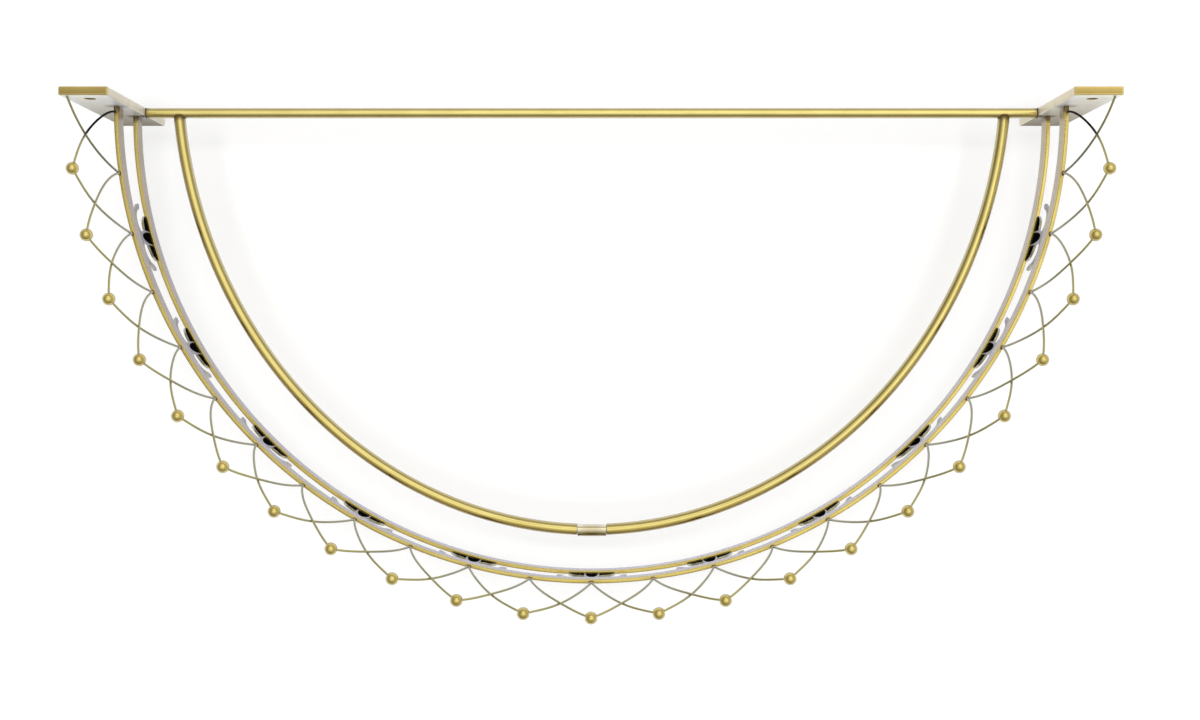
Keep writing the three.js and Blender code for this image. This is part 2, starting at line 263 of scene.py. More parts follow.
class MaterialGraph(Graph):
    """The nodes of one material, on one Principled surface."""

    def __init__(self, name: str) -> None:
        """Makes an empty material.

        Args:
            name: The material's name.
        """
        self.material = bpy.data.materials.new(name)
        self.material.use_nodes = True
        super().__init__(self.material.node_tree)
        self.tree.nodes.clear()
        self.position = self.add("ShaderNodeTexCoord").out("Object")
        self.covered: tuple[Value | float, Value] | None = None

    def noise(self, at: Value, scale: float, detail: float, roughness: float = 0.5) -> Value:
        """A noise from 0 to 1.

        Args:
            at: Where it is read.
            scale: Features per unit of that place.
            detail: Octaves.
            roughness: How strong the finer octaves are.

        Returns:
            The noise.
        """
        values = {"Vector": at, "Scale": scale, "Detail": detail, "Roughness": roughness}
        return self.add("ShaderNodeTexNoise", None, values).out("Fac")

    def noted(self, name: str) -> Value:
        """A number that the mesh keeps at its points, 0 where it keeps none"""
        settings = {"attribute_type": "GEOMETRY", "attribute_name": name}
        return self.add("ShaderNodeAttribute", settings).out("Fac")

    def relief(self, height: Value, distance: float) -> Value:
        """Turns a height into a normal.

        Args:
            height: The relief as shares of the distance.
            distance: Its depth in metres.

        Returns:
            The bumped normal.
        """
        values = {"Height": height, "Distance": distance, "Strength": 1.0}
        return self.add("ShaderNodeBump", None, values).out("Normal")

    def cover(self, share: Value | float, colour: Colour) -> None:
        """Lays a matt dark layer over the surface: braze dirt and soot, and painted shade in holes and
        hollows.

        Args:
            share: How much of the surface it covers, from 0 to 1.
            colour: Its colour.
        """
        values = {"Base Color": opaque(colour), "Roughness": 0.8, "Specular IOR Level": 0.0}
        self.covered = share, self.add("ShaderNodeBsdfPrincipled", None, values).out("BSDF")

    def surface(self, **sockets: Input) -> bpy.types.Material:
        """Closes the material with a Principled surface under whatever covers it.

        Args:
            sockets: Its sockets by name, with underscores for spaces.

        Returns:
            The material.
        """
        values = {name.replace("_", " "): opaque(value) for name, value in sockets.items()}
        shader = self.add("ShaderNodeBsdfPrincipled", None, values).out("BSDF")
        if self.covered:
            share, soot_and_shade_colour = self.covered
            layers = {"Fac": share, 1: shader, 2: soot_and_shade_colour}
            shader = self.add("ShaderNodeMixShader", None, layers).out("Shader")
        self.add("ShaderNodeOutputMaterial", None, {"Surface": shader})
        return self.material


class GeometryGraph(Graph):
    """A Geometry Nodes tree with named inputs."""

    def __init__(self, name: str) -> None:
        """Makes an empty tree.

        Args:
            name: The tree's name.
        """
        super().__init__(bpy.data.node_groups.new(name, "GeometryNodeTree"))
        self.tree.is_modifier = True
        self.identifiers: dict[str, str] = {}

    def takes(self, name: str, kind: str = "NodeSocketFloat") -> Value:
        """Declares a named input.

        Args:
            name: The input's name.
            kind: The type of its socket.

        Returns:
            The input inside the tree.
        """
        item = self.tree.interface.new_socket(name, in_out="INPUT", socket_type=kind)
        self.identifiers[name] = item.identifier
        return self.add("NodeGroupInput").out(name)

    def gives(self, geometry: Value, material: Value) -> None:
        """Ends the tree: instances are made real and take the material.

        Args:
            geometry: What the tree made.
            material: The material's input.
        """
        self.tree.interface.new_socket("Geometry", in_out="OUTPUT", socket_type="NodeSocketGeometry")
        real = self.add("GeometryNodeRealizeInstances", None, {"Geometry": geometry}).out("Geometry")
        values = {"Geometry": real, "Material": material}
        dressed = self.add("GeometryNodeSetMaterial", None, values).out("Geometry")
        self.add("NodeGroupOutput", None, {0: dressed})

    def note(self, geometry: Value, name: str, value: Value, kind: str, domain: str) -> Value:
        """Keeps a value on the geometry under a name.

        Args:
            geometry: The geometry.
            name: The name.
            value: What is kept.
            kind: FLOAT or INT.
            domain: POINT or INSTANCE.

        Returns:
            The geometry with the value.
        """
        values = {"Geometry": geometry, "Name": name, "Value": value}
        settings = {"data_type": kind, "domain": domain}
        return self.add("GeometryNodeStoreNamedAttribute", settings, values).out("Geometry")

    def round_wire(self, path: Value, radius: Value, sides: int) -> Value:
        """Sweeps a round section along a curve and closes its ends.

        Args:
            path: The curve.
            radius: The section's radius.
            sides: The section's corners.

        Returns:
            The mesh.
        """
        size = {"Resolution": sides, "Radius": radius}
        section = self.add("GeometryNodeCurvePrimitiveCircle", {"mode": "RADIUS"}, size).out("Curve")
        return self.swept(path, section)

    def swept(self, path: Value, section: Value) -> Value:
        """Sweeps a closed section along a curve and closes its ends"""
        values = {"Curve": path, "Profile Curve": section, "Fill Caps": True}
        return self.add("GeometryNodeCurveToMesh", None, values).out("Mesh")

    def bent_line(self, steps: Value) -> tuple[Value, Value]:
        """A straight line of equal steps, for a formula to bend.

        Args:
            steps: How many points it has.

        Returns:
            The line, and the share of its length at each point.
        """
        line = self.add("GeometryNodeCurvePrimitiveLine", None, {"End": (0.0, 0.0, 1.0)}).out("Curve")
        even = self.add("GeometryNodeResampleCurve", None, {"Curve": line, "Count": steps}).out("Curve")
        return even, self.add("GeometryNodeSplineParameter").out("Factor")

    def placed(self, geometry: Value, position: Value) -> Value:
        """Moves every point of the geometry to a position"""
        values = {"Geometry": geometry, "Position": position}
        return self.add("GeometryNodeSetPosition", None, values).out("Geometry")

    def gives_ring(self, shape: Value) -> None:
        """Ends the tree with numbered copies of a shape, turned by equal steps round the bands' centre.

        The tree takes their count, the first one's number and angle, the turn from each to the next and
        their material. Each copy keeps its number as place.

        Args:
            shape: What is copied. It stands at the front, round the Z axis.
        """
        count, number = self.takes("Count", "NodeSocketInt"), self.takes("First place", "NodeSocketInt")
        first, turn = self.takes("First angle"), self.takes("Turn")
        material = self.takes("Material", "NodeSocketMaterial")
        heap = {"Count": count, "Offset": (0.0, 0.0, 0.0)}
        points = self.add("GeometryNodeMeshLine", None, heap).out("Mesh")
        index = self.add("GeometryNodeInputIndex").out("Index")
        turned = self.vector(0.0, 0.0, first + index * turn)
        values = {"Points": points, "Instance": shape, "Rotation": turned}
        copies = self.add("GeometryNodeInstanceOnPoints", None, values).out("Instances")
        numbered = self.note(copies, "place", number + index, "INT", "INSTANCE")
        values = {"Geometry": numbered, "Translation": (0.0, HALF_ROUND_CENTRE_Y, 0.0)}
        self.gives(self.add("GeometryNodeTransform", None, values).out("Geometry"), material)

    def evaluate(self, name: str, **values: Input) -> bpy.types.Object:
        """Runs the tree once and turns its result into a plain mesh object.

        Args:
            name: The new object's name.
            values: The inputs by name, with underscores for spaces.

        Returns:
            The object, with no modifier left on it.
        """
        holder = shown(f"{name}_holder", bpy.data.meshes.new(name))
        modifier = holder.modifiers.new(self.tree.name, "NODES")
        modifier.node_group = self.tree
        for key, value in values.items():
            modifier[self.identifiers[key.replace("_", " ")]] = value
        mesh = evaluated(holder)
        holder.modifiers.clear()
        bpy.data.objects.remove(holder)
        only = [material for material in mesh.materials if material]
        mesh.materials.clear()
        for material in only:
            mesh.materials.append(material)
        mesh.polygons.foreach_set("material_index", [0] * len(mesh.polygons))
        return shown(name, mesh)


# Meshes


def shown(name: str, data: bpy.types.ID) -> bpy.types.Object:
    """Puts a mesh, a curve, a lamp or a camera into the scene.

    Args:
        name: The name that it and its object get.
        data: What the object shows.

    Returns:
        The object.
    """
    data.name = name
    holder = bpy.data.objects.new(name, data)
    bpy.context.scene.collection.objects.link(holder)
    return holder


def evaluated(holder: bpy.types.Object) -> bpy.types.Mesh:
    """A plain mesh of what an object's curve or modifiers come to"""
    graph = bpy.context.evaluated_depsgraph_get()
    return bpy.data.meshes.new_from_object(holder.evaluated_get(graph), depsgraph=graph)


@contextmanager
def editing(mesh: bpy.types.Mesh) -> Iterator[bmesh.types.BMesh]:
    """Opens a mesh for editing and writes it back afterwards.

    Args:
        mesh: The mesh.

    Yields:
        Its editable form.
    """
    shape = bmesh.new()
    shape.from_mesh(mesh)
    yield shape
    shape.to_mesh(mesh)
    shape.free()


def steps_round(count: int) -> list[float]:
    """Angles that part a whole turn into equal steps"""
    return [2 * math.pi * step / count for step in range(count)]


def arc(x: float, y: float, radius: float, angles: Sequence[float]) -> list[tuple[float, float]]:
    """Points of an arc round a centre"""
    return [(x + radius * math.cos(angle), y + radius * math.sin(angle)) for angle in angles]


def mesh_of(name: str, points: np.ndarray, faces: Iterable[Sequence[int]]) -> bpy.types.Mesh:
    """Makes a mesh with its doubles merged and its faces pointing outwards.

    Args:
        name: The mesh's name.
        points: Its vertices, one row each.
        faces: The corners of each face.

    Returns:
        The mesh.
    """
    mesh = bpy.data.meshes.new(name)
    mesh.from_pydata([tuple(map(float, point)) for point in points], [], list(faces))
    outward(mesh)
    return mesh


def outward(mesh: bpy.types.Mesh) -> None:
    """Merges doubles and makes the faces point outwards.

    Args:
        mesh: A closed mesh.
    """
    with editing(mesh) as shape:
        bmesh.ops.remove_doubles(shape, verts=shape.verts, dist=MERGE_DISTANCE)
        bmesh.ops.recalc_face_normals(shape, faces=shape.faces)


def lofted(name: str, rings: np.ndarray) -> bpy.types.Mesh:
    """Skins a row of rings and closes both ends.

    Args:
        name: The mesh's name.
        rings: An array of rings of points.

    Returns:
        The closed mesh.
    """
    count, sides, _ = rings.shape
    faces = []
    for ring in range(count - 1):
        for side in range(sides):
            near, far = ring * sides, (ring + 1) * sides
            after = (side + 1) % sides
            faces.append((near + side, near + after, far + after, far + side))
    faces.append(tuple(range(sides)))
    faces.append(tuple((count - 1) * sides + side for side in reversed(range(sides))))
    return mesh_of(name, rings.reshape(-1, 3), faces)


def turned_round(
    name: str, profile: Sequence[tuple[float, float]], sides: int, place: Matrix
) -> bpy.types.Mesh:
    """Turns a profile on a lathe whose axis is Z, then puts it in place.

    Args:
        name: The mesh's name.
        profile: Radius and height of each corner; its ends either lie on the axis or are joined.
        sides: Steps round the axis.
        place: Where the turned shape goes.

    Returns:
        The closed mesh.
    """
    points = [(r * math.cos(a), r * math.sin(a), z) for r, z in profile for a in steps_round(sides)]
    rows = len(profile)
    joined = profile[0][0] > 0
    faces = []
    for row in range(rows if joined else rows - 1):
        for side in range(sides):
            near, far, after = row * sides, (row + 1) % rows * sides, (side + 1) % sides
            faces.append((near + side, near + after, far + after, far + side))
    mesh = mesh_of(name, np.array(points), faces)
    mesh.transform(place)
    return mesh


def split_by_place(
    source: bpy.types.Object, groups: Mapping[str, Sequence[int]]
) -> list[bpy.types.Object]:
    """Cuts a mesh into pieces by the place that its points keep.

    Args:
        source: The object to cut up. It is removed.
        groups: The places of each new piece, by the piece's name.

    Returns:
        The new objects in order.
    """
    place = np.zeros(len(source.data.vertices), np.int32)
    source.data.attributes["place"].data.foreach_get("value", place)
    pieces = []
    for name, places in groups.items():
        kept = np.isin(place, places)
        shape = bmesh.new()
        shape.from_mesh(source.data)
        shape.verts.ensure_lookup_table()
        others = [shape.verts[int(i)] for i in np.flatnonzero(~kept)]
        bmesh.ops.delete(shape, geom=others, context="VERTS")
        mesh = bpy.data.meshes.new(name)
        shape.to_mesh(mesh)
        shape.free()
        for material in source.data.materials:
            mesh.materials.append(material)
        pieces.append(shown(name, mesh))
    bpy.data.objects.remove(source)
    return pieces


def note_points(mesh: bpy.types.Mesh, name: str, values: np.ndarray) -> None:
    """Keeps a number at each point of a mesh, for its material to read.

    Args:
        mesh: The mesh.
        name: What the number is called.
        values: One number for each point.
    """
    if name in mesh.attributes:
        mesh.attributes.remove(mesh.attributes[name])
    layer = mesh.attributes.new(name, "FLOAT", "POINT")
    layer.data.foreach_set("value", values.astype(np.float32))


def points_of(mesh: bpy.types.Mesh) -> np.ndarray:
    """Reads where a mesh's points are.

    Args:
        mesh: The mesh.

    Returns:
        Its vertices, one row each.
    """
    values = np.zeros(3 * len(mesh.vertices), np.float32)
    mesh.vertices.foreach_get("co", values)
    return values.reshape(-1, 3).astype(float)


def note_wear(mesh: bpy.types.Mesh) -> None:
    """Notes how sharp a mesh's outer edges are, for the wear on them, as edge from 0 to 1.

    Args:
        mesh: The mesh.
    """
    shape = bmesh.new()
    shape.from_mesh(mesh)
    wear = np.zeros(len(shape.verts))
    for edge in shape.edges:
        if len(edge.link_faces) != 2:
            continue
        bend = math.degrees(edge.calc_face_angle_signed(0.0))
        share = (bend - WEAR_FROM_DEGREES) / WEAR_FULL_AFTER_DEGREES
        for vertex in edge.verts:
            wear[vertex.index] = max(wear[vertex.index], min(share, 1.0))
    shape.free()
    note_points(mesh, "edge", wear)


def smooth(mesh: bpy.types.Mesh, degrees: float) -> None:
    """Shades a mesh smooth, except at edges that are sharper than an angle"""
    mesh.polygons.foreach_set("use_smooth", [True] * len(mesh.polygons))
    mesh.set_sharp_from_angle(angle=math.radians(degrees))


def shade_evenly(piece: bpy.types.Object) -> None:
    """Lets flat faces keep their own shading, so that only the bevels round them shade smoothly.

    Args:
        piece: The object, which gets a new mesh.
    """
    modifier = piece.modifiers.new("even_shading", "WEIGHTED_NORMAL")
    modifier.keep_sharp = True
    mesh = evaluated(piece)
    piece.modifiers.clear()
    rough = piece.data
    piece.data = mesh
    bpy.data.meshes.remove(rough)
    mesh.name = piece.name


def present(
    piece: bpy.types.Object,
    nodes: Sequence[str],
    body: str = CROWN_BODY,
    sharp: float = 40,
) -> None:
    """Finishes a piece and hands it to the frame.

    Args:
        piece: The piece, dressed and in place.
        nodes: The solids that it stands for.
        body: The body that it rides on.
        sharp: Edges that bend more than this many degrees stay sharp.
    """
    note_wear(piece.data)
    smooth(piece.data, sharp)
    shade_evenly(piece)
    if nodes:
        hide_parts(*nodes)
    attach(piece, body)
    solids = ", ".join(nodes) or "no solid"
    log.info("%s: %d faces, stands for %s", piece.name, len(piece.data.polygons), solids)


# Finishes


class Grain(Enum):
    """Which way a finish was brushed."""

    EVEN = "no direction"
    ALONG_X = "along the back rod"
    UPRIGHT = "up the wall plates"
    ROUND = "round the bands"
    BOWED = "along the bowed curtain rod"
    TURNED = "round the coupling"


@dataclass(frozen=True)
class HeatMark:
    """A place darkened by brazing, the same on the left and on the right.

    It is darkest in its core, a share of its reach.
    """

    centre: Point
    reach: float
    depth: float = 1.0
    core: float = 0.35


@dataclass(frozen=True)
class PaintedShade:
    """Painted shade: a darkening of the colour along one axis, from 0 at start to its depth at end."""

    axis: int
    start: float
    end: float
    depth: float

    @classmethod
    def beside_highlight(
        cls, level: float, radius: float, bright: float, painted_shade_at: float, depth: float
    ) -> "PaintedShade":
        """Paints shade on a round bar or a ball on both sides of the strip that faces up.

        Args:
            level: Height of its axis or centre.
            radius: Its radius.
            bright: How high up the strip starts, as a share of the radius.
            painted_shade_at: How high up the full depth is reached.
            depth: How dark the painted shade gets there.

        Returns:
            The patina.
        """
        return cls(2, level + radius * bright, level + radius * painted_shade_at, depth)


@dataclass(frozen=True)
class BrushedGold:
    """Gold finish over brass: brushed, lacquered and worn on its edges, dark with braze at its joints,
    with painted shade in holes and hollows and along chosen axes.
    """

    name: str
    grain: Grain = Grain.EVEN
    tone: Colour = (0.83, 0.675, 0.215)
    deep: Colour = (0.66, 0.515, 0.14)
    worn: Colour = (0.92, 0.81, 0.45)
    # The dark colour of braze soot, also used for painted shade
    soot_and_shade_colour: Colour = (0.10, 0.065, 0.02)
    roughness: float = 0.27
    coat: float = 0.35
    coat_roughness: float = 0.2
    haze: float = 0.8
    haze_roughness: float = 0.25
    haze_tint: Colour = (0.92, 0.92, 1.0)
    edge_tint: Colour = (0.36, 0.42, 0.85)
    streak_width: float = 0.0007
    streak_length: float = 0.03
    bend_radius: float = 0.37
    clouds: float = 38.0
    specks: float = 900.0
    relief: float = 0.00001
    marks: tuple[HeatMark, ...] = ()
    painted_shade: tuple[PaintedShade, ...] = ()

    def brushed_at(self, graph: MaterialGraph) -> Value:
        """Where the brush marks are read: fine across the grain and long along it.

        Args:
            graph: The material's nodes.

        Returns:
            A place in brush marks.
        """
        x, y, z = graph.parts(graph.position)
        fine, long = 1 / self.streak_width, 1 / self.streak_length
        if self.grain is Grain.ALONG_X:
            return graph.vector(x * long, y * fine, z * fine)
        if self.grain is Grain.UPRIGHT:
            return graph.vector(x * fine, y * fine, z * long)
        if self.grain is Grain.TURNED:
            return graph.vector(x * fine, y * long, z * long)
        if self.grain is Grain.ROUND:
            return self._round_at(graph, x, HALF_ROUND_CENTRE_Y - y, z, self.bend_radius)
        if self.grain is Grain.BOWED:
            bow = CurtainRod()
            return self._round_at(graph, x / bow.half_width, (bow.centre_y - y) / bow.depth, z, 1.0)
        return graph.vector(x * fine, y * fine, z * fine)

    def _round_at(
        self, graph: MaterialGraph, side: Value, front: Value, z: Value, radius: float
    ) -> Value:
        """Reads brush marks that run round a centre.

        Args:
            graph: The material's nodes.
            side: Distance from the centre to the right.
            front: Distance from the centre to the front.
            z: Height.
            radius: What the distance is at the grain itself.

        Returns:
            A place in brush marks.
        """
        reach = (side * side + front * front).root() * (self.bend_radius / radius / self.streak_width)
        along = side.angle_over(front) * (self.bend_radius / self.streak_length)
        return graph.vector(along, reach, z / self.streak_width)

    def sooted_and_shaded(self, graph: MaterialGraph) -> Value | float:
        """Adds up the marks that brazing has left.

        Args:
            graph: The material's nodes.

        Returns:
            How dark the surface is, from 0 to 1.
        """
        total: Value | float = 0.0
        x, y, z = graph.parts(graph.position)
        for mark in self.marks:
            mx, my, mz = mark.centre
            away = ((abs(x) - mx) ** 2.0 + (y - my) ** 2.0 + (z - mz) ** 2.0).root()
            total = total + away.ramp(mark.reach, mark.reach * mark.core) * mark.depth
        return total

    def material(self) -> bpy.types.Material:
        """Builds the material.

        Returns:
            The material.
        """
        graph = MaterialGraph(self.name)
        streak = graph.noise(self.brushed_at(graph), 1.0, 3.0, 0.65)
        cloud = graph.noise(graph.position, self.clouds, 3.0)
        speck = graph.noise(graph.position, self.specks, 2.0)
        tint = (streak * 0.75 + cloud * 0.6 + speck * 0.15 - 0.25).ramp(0.15, 0.85)
        colour = graph.mix(tint, self.deep, self.tone)
        edge = graph.noted("edge")
        worn = (edge * (0.55 + cloud * 0.6)).ramp(0.1, 0.9)
        colour = graph.mix(worn, colour, self.worn)
        place = graph.parts(graph.position)
        # Painted shade: each layer darkens the colour towards the dark colour along one axis
        for layer in self.painted_shade:
            shaded = place[layer.axis].ramp(layer.start, layer.end) * layer.depth
            colour = graph.mix(shaded, colour, self.soot_and_shade_colour)
        # Painted shade in holes, on plate ends and fronts and in hollows, with real braze dirt at the
        # rods' ends
        dark = graph.noted("recess")
        if self.marks:
            dark = (self.sooted_and_shaded(graph) * (0.6 + speck * 0.5) + dark).least(1.0)
        rough = self.roughness + (streak - 0.5) * 0.16 + (speck - 0.5) * 0.08 - worn * 0.06
        graph.cover(dark, self.soot_and_shade_colour)
        return graph.surface(
            Base_Color=colour,
            Metallic=1.0,
            Roughness=rough,
            Specular_Tint=self.edge_tint,
            Coat_Weight=self.coat,
            Coat_Roughness=self.coat_roughness,
            Sheen_Weight=self.haze,
            Sheen_Roughness=self.haze_roughness,
            Sheen_Tint=self.haze_tint,
            Normal=graph.relief(streak * 0.7 + speck * 0.3, self.relief),
        )


@dataclass(frozen=True)
class ScallopWire:
    """Drawn brass wire: olive near the feet, golden near the beads, blackened by painted dark reflection
    and shade beside the wall plates.
    """

    name: str = "scallop_wire_gold"
    foot: Colour = (0.36, 0.355, 0.27)
    peak: Colour = (0.55, 0.50, 0.21)
    # The black of the painted dark reflection and shade
    soot_and_shade_colour: Colour = (0.012, 0.012, 0.011)
    roughness: float = 0.34
    coat: float = 0.35
    coat_roughness: float = 0.2
    clouds: float = 90.0
    specks: float = 1400.0
    relief: float = 0.00002

    def material(self) -> bpy.types.Material:
        """Builds the material.

        Returns:
            The material.
        """
        graph = MaterialGraph(self.name)
        cloud = graph.noise(graph.position, self.clouds, 3.0)
        speck = graph.noise(graph.position, self.specks, 2.0)
        rise = (graph.noted("limb") + (cloud - 0.5) * 0.5).ramp(0.25, 0.95)
        colour = graph.mix(rise, self.foot, self.peak)
        # Painted dark reflection and shade: the wire goes black, rougher and without its coat
        painted_dark = (graph.noted("burnt") * (0.85 + speck * 0.3)).least(1.0)
        colour = graph.mix(painted_dark, colour, self.soot_and_shade_colour)
        return graph.surface(
            Base_Color=colour,
            Metallic=1.0,
            Roughness=self.roughness + (speck - 0.5) * 0.14 + painted_dark * 0.25,
            Coat_Weight=self.coat * (1 - painted_dark),
            Coat_Roughness=self.coat_roughness,
            Normal=graph.relief(speck * 0.6 + cloud * 0.4, self.relief),
        )


@dataclass(frozen=True)
class StudSteel:
    """Turned steel of the studs inside the coupling."""

    name: str = "stud_steel"
    dark: Colour = (0.16, 0.15, 0.14)
    bright: Colour = (0.30, 0.29, 0.27)
    ring_width: float = 1 / 3000
    ring_length: float = 1 / 60
    clouds: float = 200.0
    relief: float = 0.00001

    def material(self) -> bpy.types.Material:
        """Builds the material.

        Returns:
            The material.
        """
        graph = MaterialGraph(self.name)
        x, y, z = graph.parts(graph.position)
        fine, long = 1 / self.ring_width, 1 / self.ring_length
        rings = graph.noise(graph.vector(x * fine, y * long, z * long), 1.0, 2.0)
        cloud = graph.noise(graph.position, self.clouds, 2.0)
        return graph.surface(
            Base_Color=graph.mix(cloud, self.dark, self.bright),
            Metallic=1.0,
            Roughness=0.3 + rings * 0.15,
            Normal=graph.relief(rings, self.relief),
        )


# Places round the half-round bands


@dataclass(frozen=True)
class Round:
    """The half round that the bands follow, and the places on it that the gallery keeps to."""

    radius: float = 0.3736
    thickness: float = 0.0034
    height: float = 0.016
    lower_bottom: float = 0.043
    upper_bottom: float = 0.0972
    foot_radius: float = 0.3724
    first_foot_standoff: float = 0.0046
    pitches: int = 24

    @property
    def upper_top(self) -> float:
        """Height of the upper band's top"""
        return self.upper_bottom + self.height

    @property
    def lower_top(self) -> float:
        """Height of the lower band's top"""
        return self.lower_bottom + self.height

    @property
    def first_foot(self) -> float:
        """Angle from the wall plates' fronts to the first foot"""
        return math.asin(self.first_foot_standoff / self.foot_radius)

    @property
    def pitch(self) -> float:
        """Angle from each place to the next"""
        return (math.pi - 2 * self.first_foot) / self.pitches

    def angle(self, place: float) -> float:
        """Angle of a place from the front"""
        return self.first_foot + place * self.pitch - math.pi / 2

    def ring(self, first: int, last: int, apart: int, number: int) -> dict[str, float]:
        """Says how a tree puts copies round the bands.

        Args:
            first: The first copy's place.
            last: The last copy's place.
            apart: How many places lie from each to the next.
            number: The number of the first.

        Returns:
            The tree's inputs.
        """
        count, turn = (last - first) // apart + 1, apart * self.pitch
        return {"Count": count, "First_place": number, "First_angle": self.angle(first), "Turn": turn}


def repeated(
    name: str, pattern: bpy.types.Mesh, places: Mapping[str, float], finish: BrushedGold
) -> bpy.types.Object:
    """Repeats a pattern round the half round.

    Args:
        name: The new object's name.
        pattern: The mesh at the front, round the Z axis. Only its copies are kept.
        places: How many copies there are and where, as Round gives it.
        finish: Their finish.

    Returns:
        All the copies in one object, each with its number as place.
    """
    graph = GeometryGraph(f"{name}_round_the_crown")
    source = {"Object": graph.takes("Shape", "NodeSocketObject")}
    settings = {"transform_space": "ORIGINAL"}
    graph.gives_ring(graph.add("GeometryNodeObjectInfo", settings, source).out("Geometry"))
    holder = shown(f"{name}_pattern", pattern)
    ring = graph.evaluate(name, Shape=holder, Material=finish.material(), **places)
    bpy.data.objects.remove(holder)
    return ring


# Sub-assemblies


@dataclass
class WallPlates:
    """The two bevelled flat bars that screw to the wall."""

    half_width: float = 0.4
    width: float = 0.0374
    thickness: float = 0.0068
    length: float = 0.1657
    bevel: float = 0.0011
    corner: float = 0.0002
    corner_steps: int = 4
    rim: float = 0.0004
    flatness: float = 1e-5
    hole_radius: float = 0.0039
    hole_inset: float = 0.0187
    hole_sides: int = 48
    band_inset: float = 0.0281
    band_levels: tuple[float, float] = (0.1102, 0.056)
    # Painted shade in the screw holes, on the ends and low on the front
    hole_painted_shade: float = 0.9
    end_painted_shade: float = 0.1
    end_painted_shade_rise: float = 0.52
    front_painted_shade: float = 0.75

    def __post_init__(self) -> None:
        """Chooses the finish."""
        at_band = self.half_width - self.band_inset
        upper, lower = self.band_levels
        marks = (
            HeatMark((at_band, -self.thickness, upper), reach=0.012, depth=0.35),
            HeatMark((at_band, -self.thickness, lower), reach=0.01, depth=0.35),
            HeatMark((self.half_width - self.width, -BackRod.depth, ROD_LEVEL), reach=0.0066, depth=0.8),
        )
        self.finish = BrushedGold(
            "plate_gold",
            Grain.UPRIGHT,
            tone=(0.84, 0.63, 0.18),
            deep=(0.62, 0.43, 0.10),
            worn=(1.0, 0.90, 0.52),
            soot_and_shade_colour=(0.115, 0.08, 0.025),
            marks=marks,
            roughness=0.36,
            relief=0.000004,
            haze=1.0,
            haze_roughness=0.42,
            edge_tint=(0.7, 0.85, 1.0),
            coat=0.6,
            coat_roughness=0.35,
            # Painted shade: the plates darken toward the left
            painted_shade=(PaintedShade(axis=0, start=0.3, end=-0.37, depth=0.25),),
            streak_length=0.05,
        )

    @property
    def hole_levels(self) -> tuple[float, float]:
        """Heights of the two screw holes"""
        return self.hole_inset, self.length - self.hole_inset

    def _outline(self) -> bpy.types.Curve:
        """Draws a plate's rounded rectangle and its two holes.

        Returns:
            The flat curve, which is thickened and bevelled.
        """
        curve = bpy.data.curves.new("plate_outline", "CURVE")
        curve.dimensions = "2D"
        curve.fill_mode = "BOTH"
        curve.extrude = self.thickness / 2 - self.bevel
        curve.bevel_depth = self.bevel
        curve.bevel_resolution = 3
        half = self.width / 2 - self.bevel - self.corner
        low, high = self.bevel + self.corner, self.length - self.bevel - self.corner
        rim = []
        for x, z, turn in ((half, high, 0.0), (-half, high, 0.5), (-half, low, 1.0), (half, low, 1.5)):
            turns = [turn + step / self.corner_steps / 2 for step in range(self.corner_steps + 1)]
            rim += arc(x, z, self.corner, [turn * math.pi for turn in turns])
        mouth, turns = self.hole_radius + self.bevel, steps_round(self.hole_sides)
        for corners in (rim, *(arc(0.0, level, mouth, turns) for level in self.hole_levels)):
            spline = curve.splines.new("POLY")
            spline.points.add(len(corners) - 1)
            for point, (x, z) in zip(spline.points, corners):
                point.co = (x, z, 0.0, 1.0)
            spline.use_cyclic_u = True
        return curve

    def _plate_mesh(self) -> bpy.types.Mesh:
        """Makes one plate, upright on the wall and centred on X.

        Returns:
            The plate's mesh.
        """
        holder = shown("plate_outline", self._outline())
        mesh = evaluated(holder)
        bpy.data.objects.remove(holder)
        upright = Matrix.Rotation(math.pi / 2, 4, "X")
        mesh.transform(Matrix.Translation((0, -self.thickness / 2, 0)) @ upright)
        outward(mesh)
        with editing(mesh) as shape:
            shape.normal_update()
            flats = [face for face in shape.faces if self._is_flat(face)]
            bmesh.ops.inset_region(shape, faces=flats, thickness=self.rim, use_even_offset=True)
        # Painted shade in the screw holes, on the ends and low on the front
        note_points(mesh, "recess", self._painted_shade_at_points(points_of(mesh)))
        return mesh

    def _is_flat(self, face: bmesh.types.BMFace) -> bool:
        """Tells the six flat sides of a plate from its bevels and its holes' walls.

        Args:
            face: A face of the plate.

        Returns:
            Whether it lies on one of the flat sides.
        """
        square = 0.9999
        centre, normal, half_length = face.calc_center_median(), face.normal, self.length / 2
        on_edge = abs(centre.x) > self.width / 2 - self.flatness
        on_end = abs(centre.z - half_length) > half_length - self.flatness
        faces_out = max(abs(normal.x), abs(normal.z)) > square
        return abs(normal.y) > square or ((on_edge or on_end) and faces_out)

    def _painted_shade_at_points(self, points: np.ndarray) -> np.ndarray:
        """Painted shade at each point: dark in the screw holes, darker on the ends and more so toward
        the front face, and on the front face darker toward the bottom.

        Args:
            points: The plate's vertices, one row each.

        Returns:
            A share from 0 to 1 for each point.
        """
        across, depth, level = np.abs(points[:, 0]), -points[:, 1], points[:, 2]
        half_width, half_length, half_depth = self.width / 2, self.length / 2, self.thickness / 2
        inner = self.bevel + self.rim * 0.9
        on_end = np.abs(level - half_length) > half_length - self.flatness
        on_end &= (across < half_width - inner) & (np.abs(depth - half_depth) < half_depth - inner)
        on_front = depth > self.thickness - self.flatness
        painted_shade_at = np.where(on_end, self.end_painted_shade + self.end_painted_shade_rise * depth / self.thickness, 0.0)
        painted_shade_at += np.where(on_front, self.front_painted_shade * (1 - level / self.length), 0.0)
        from_hole = np.min([np.hypot(across, level - hole) for hole in self.hole_levels], axis=0)
        return np.where(from_hole < self.hole_radius + self.bevel * 0.3, self.hole_painted_shade, painted_shade_at)

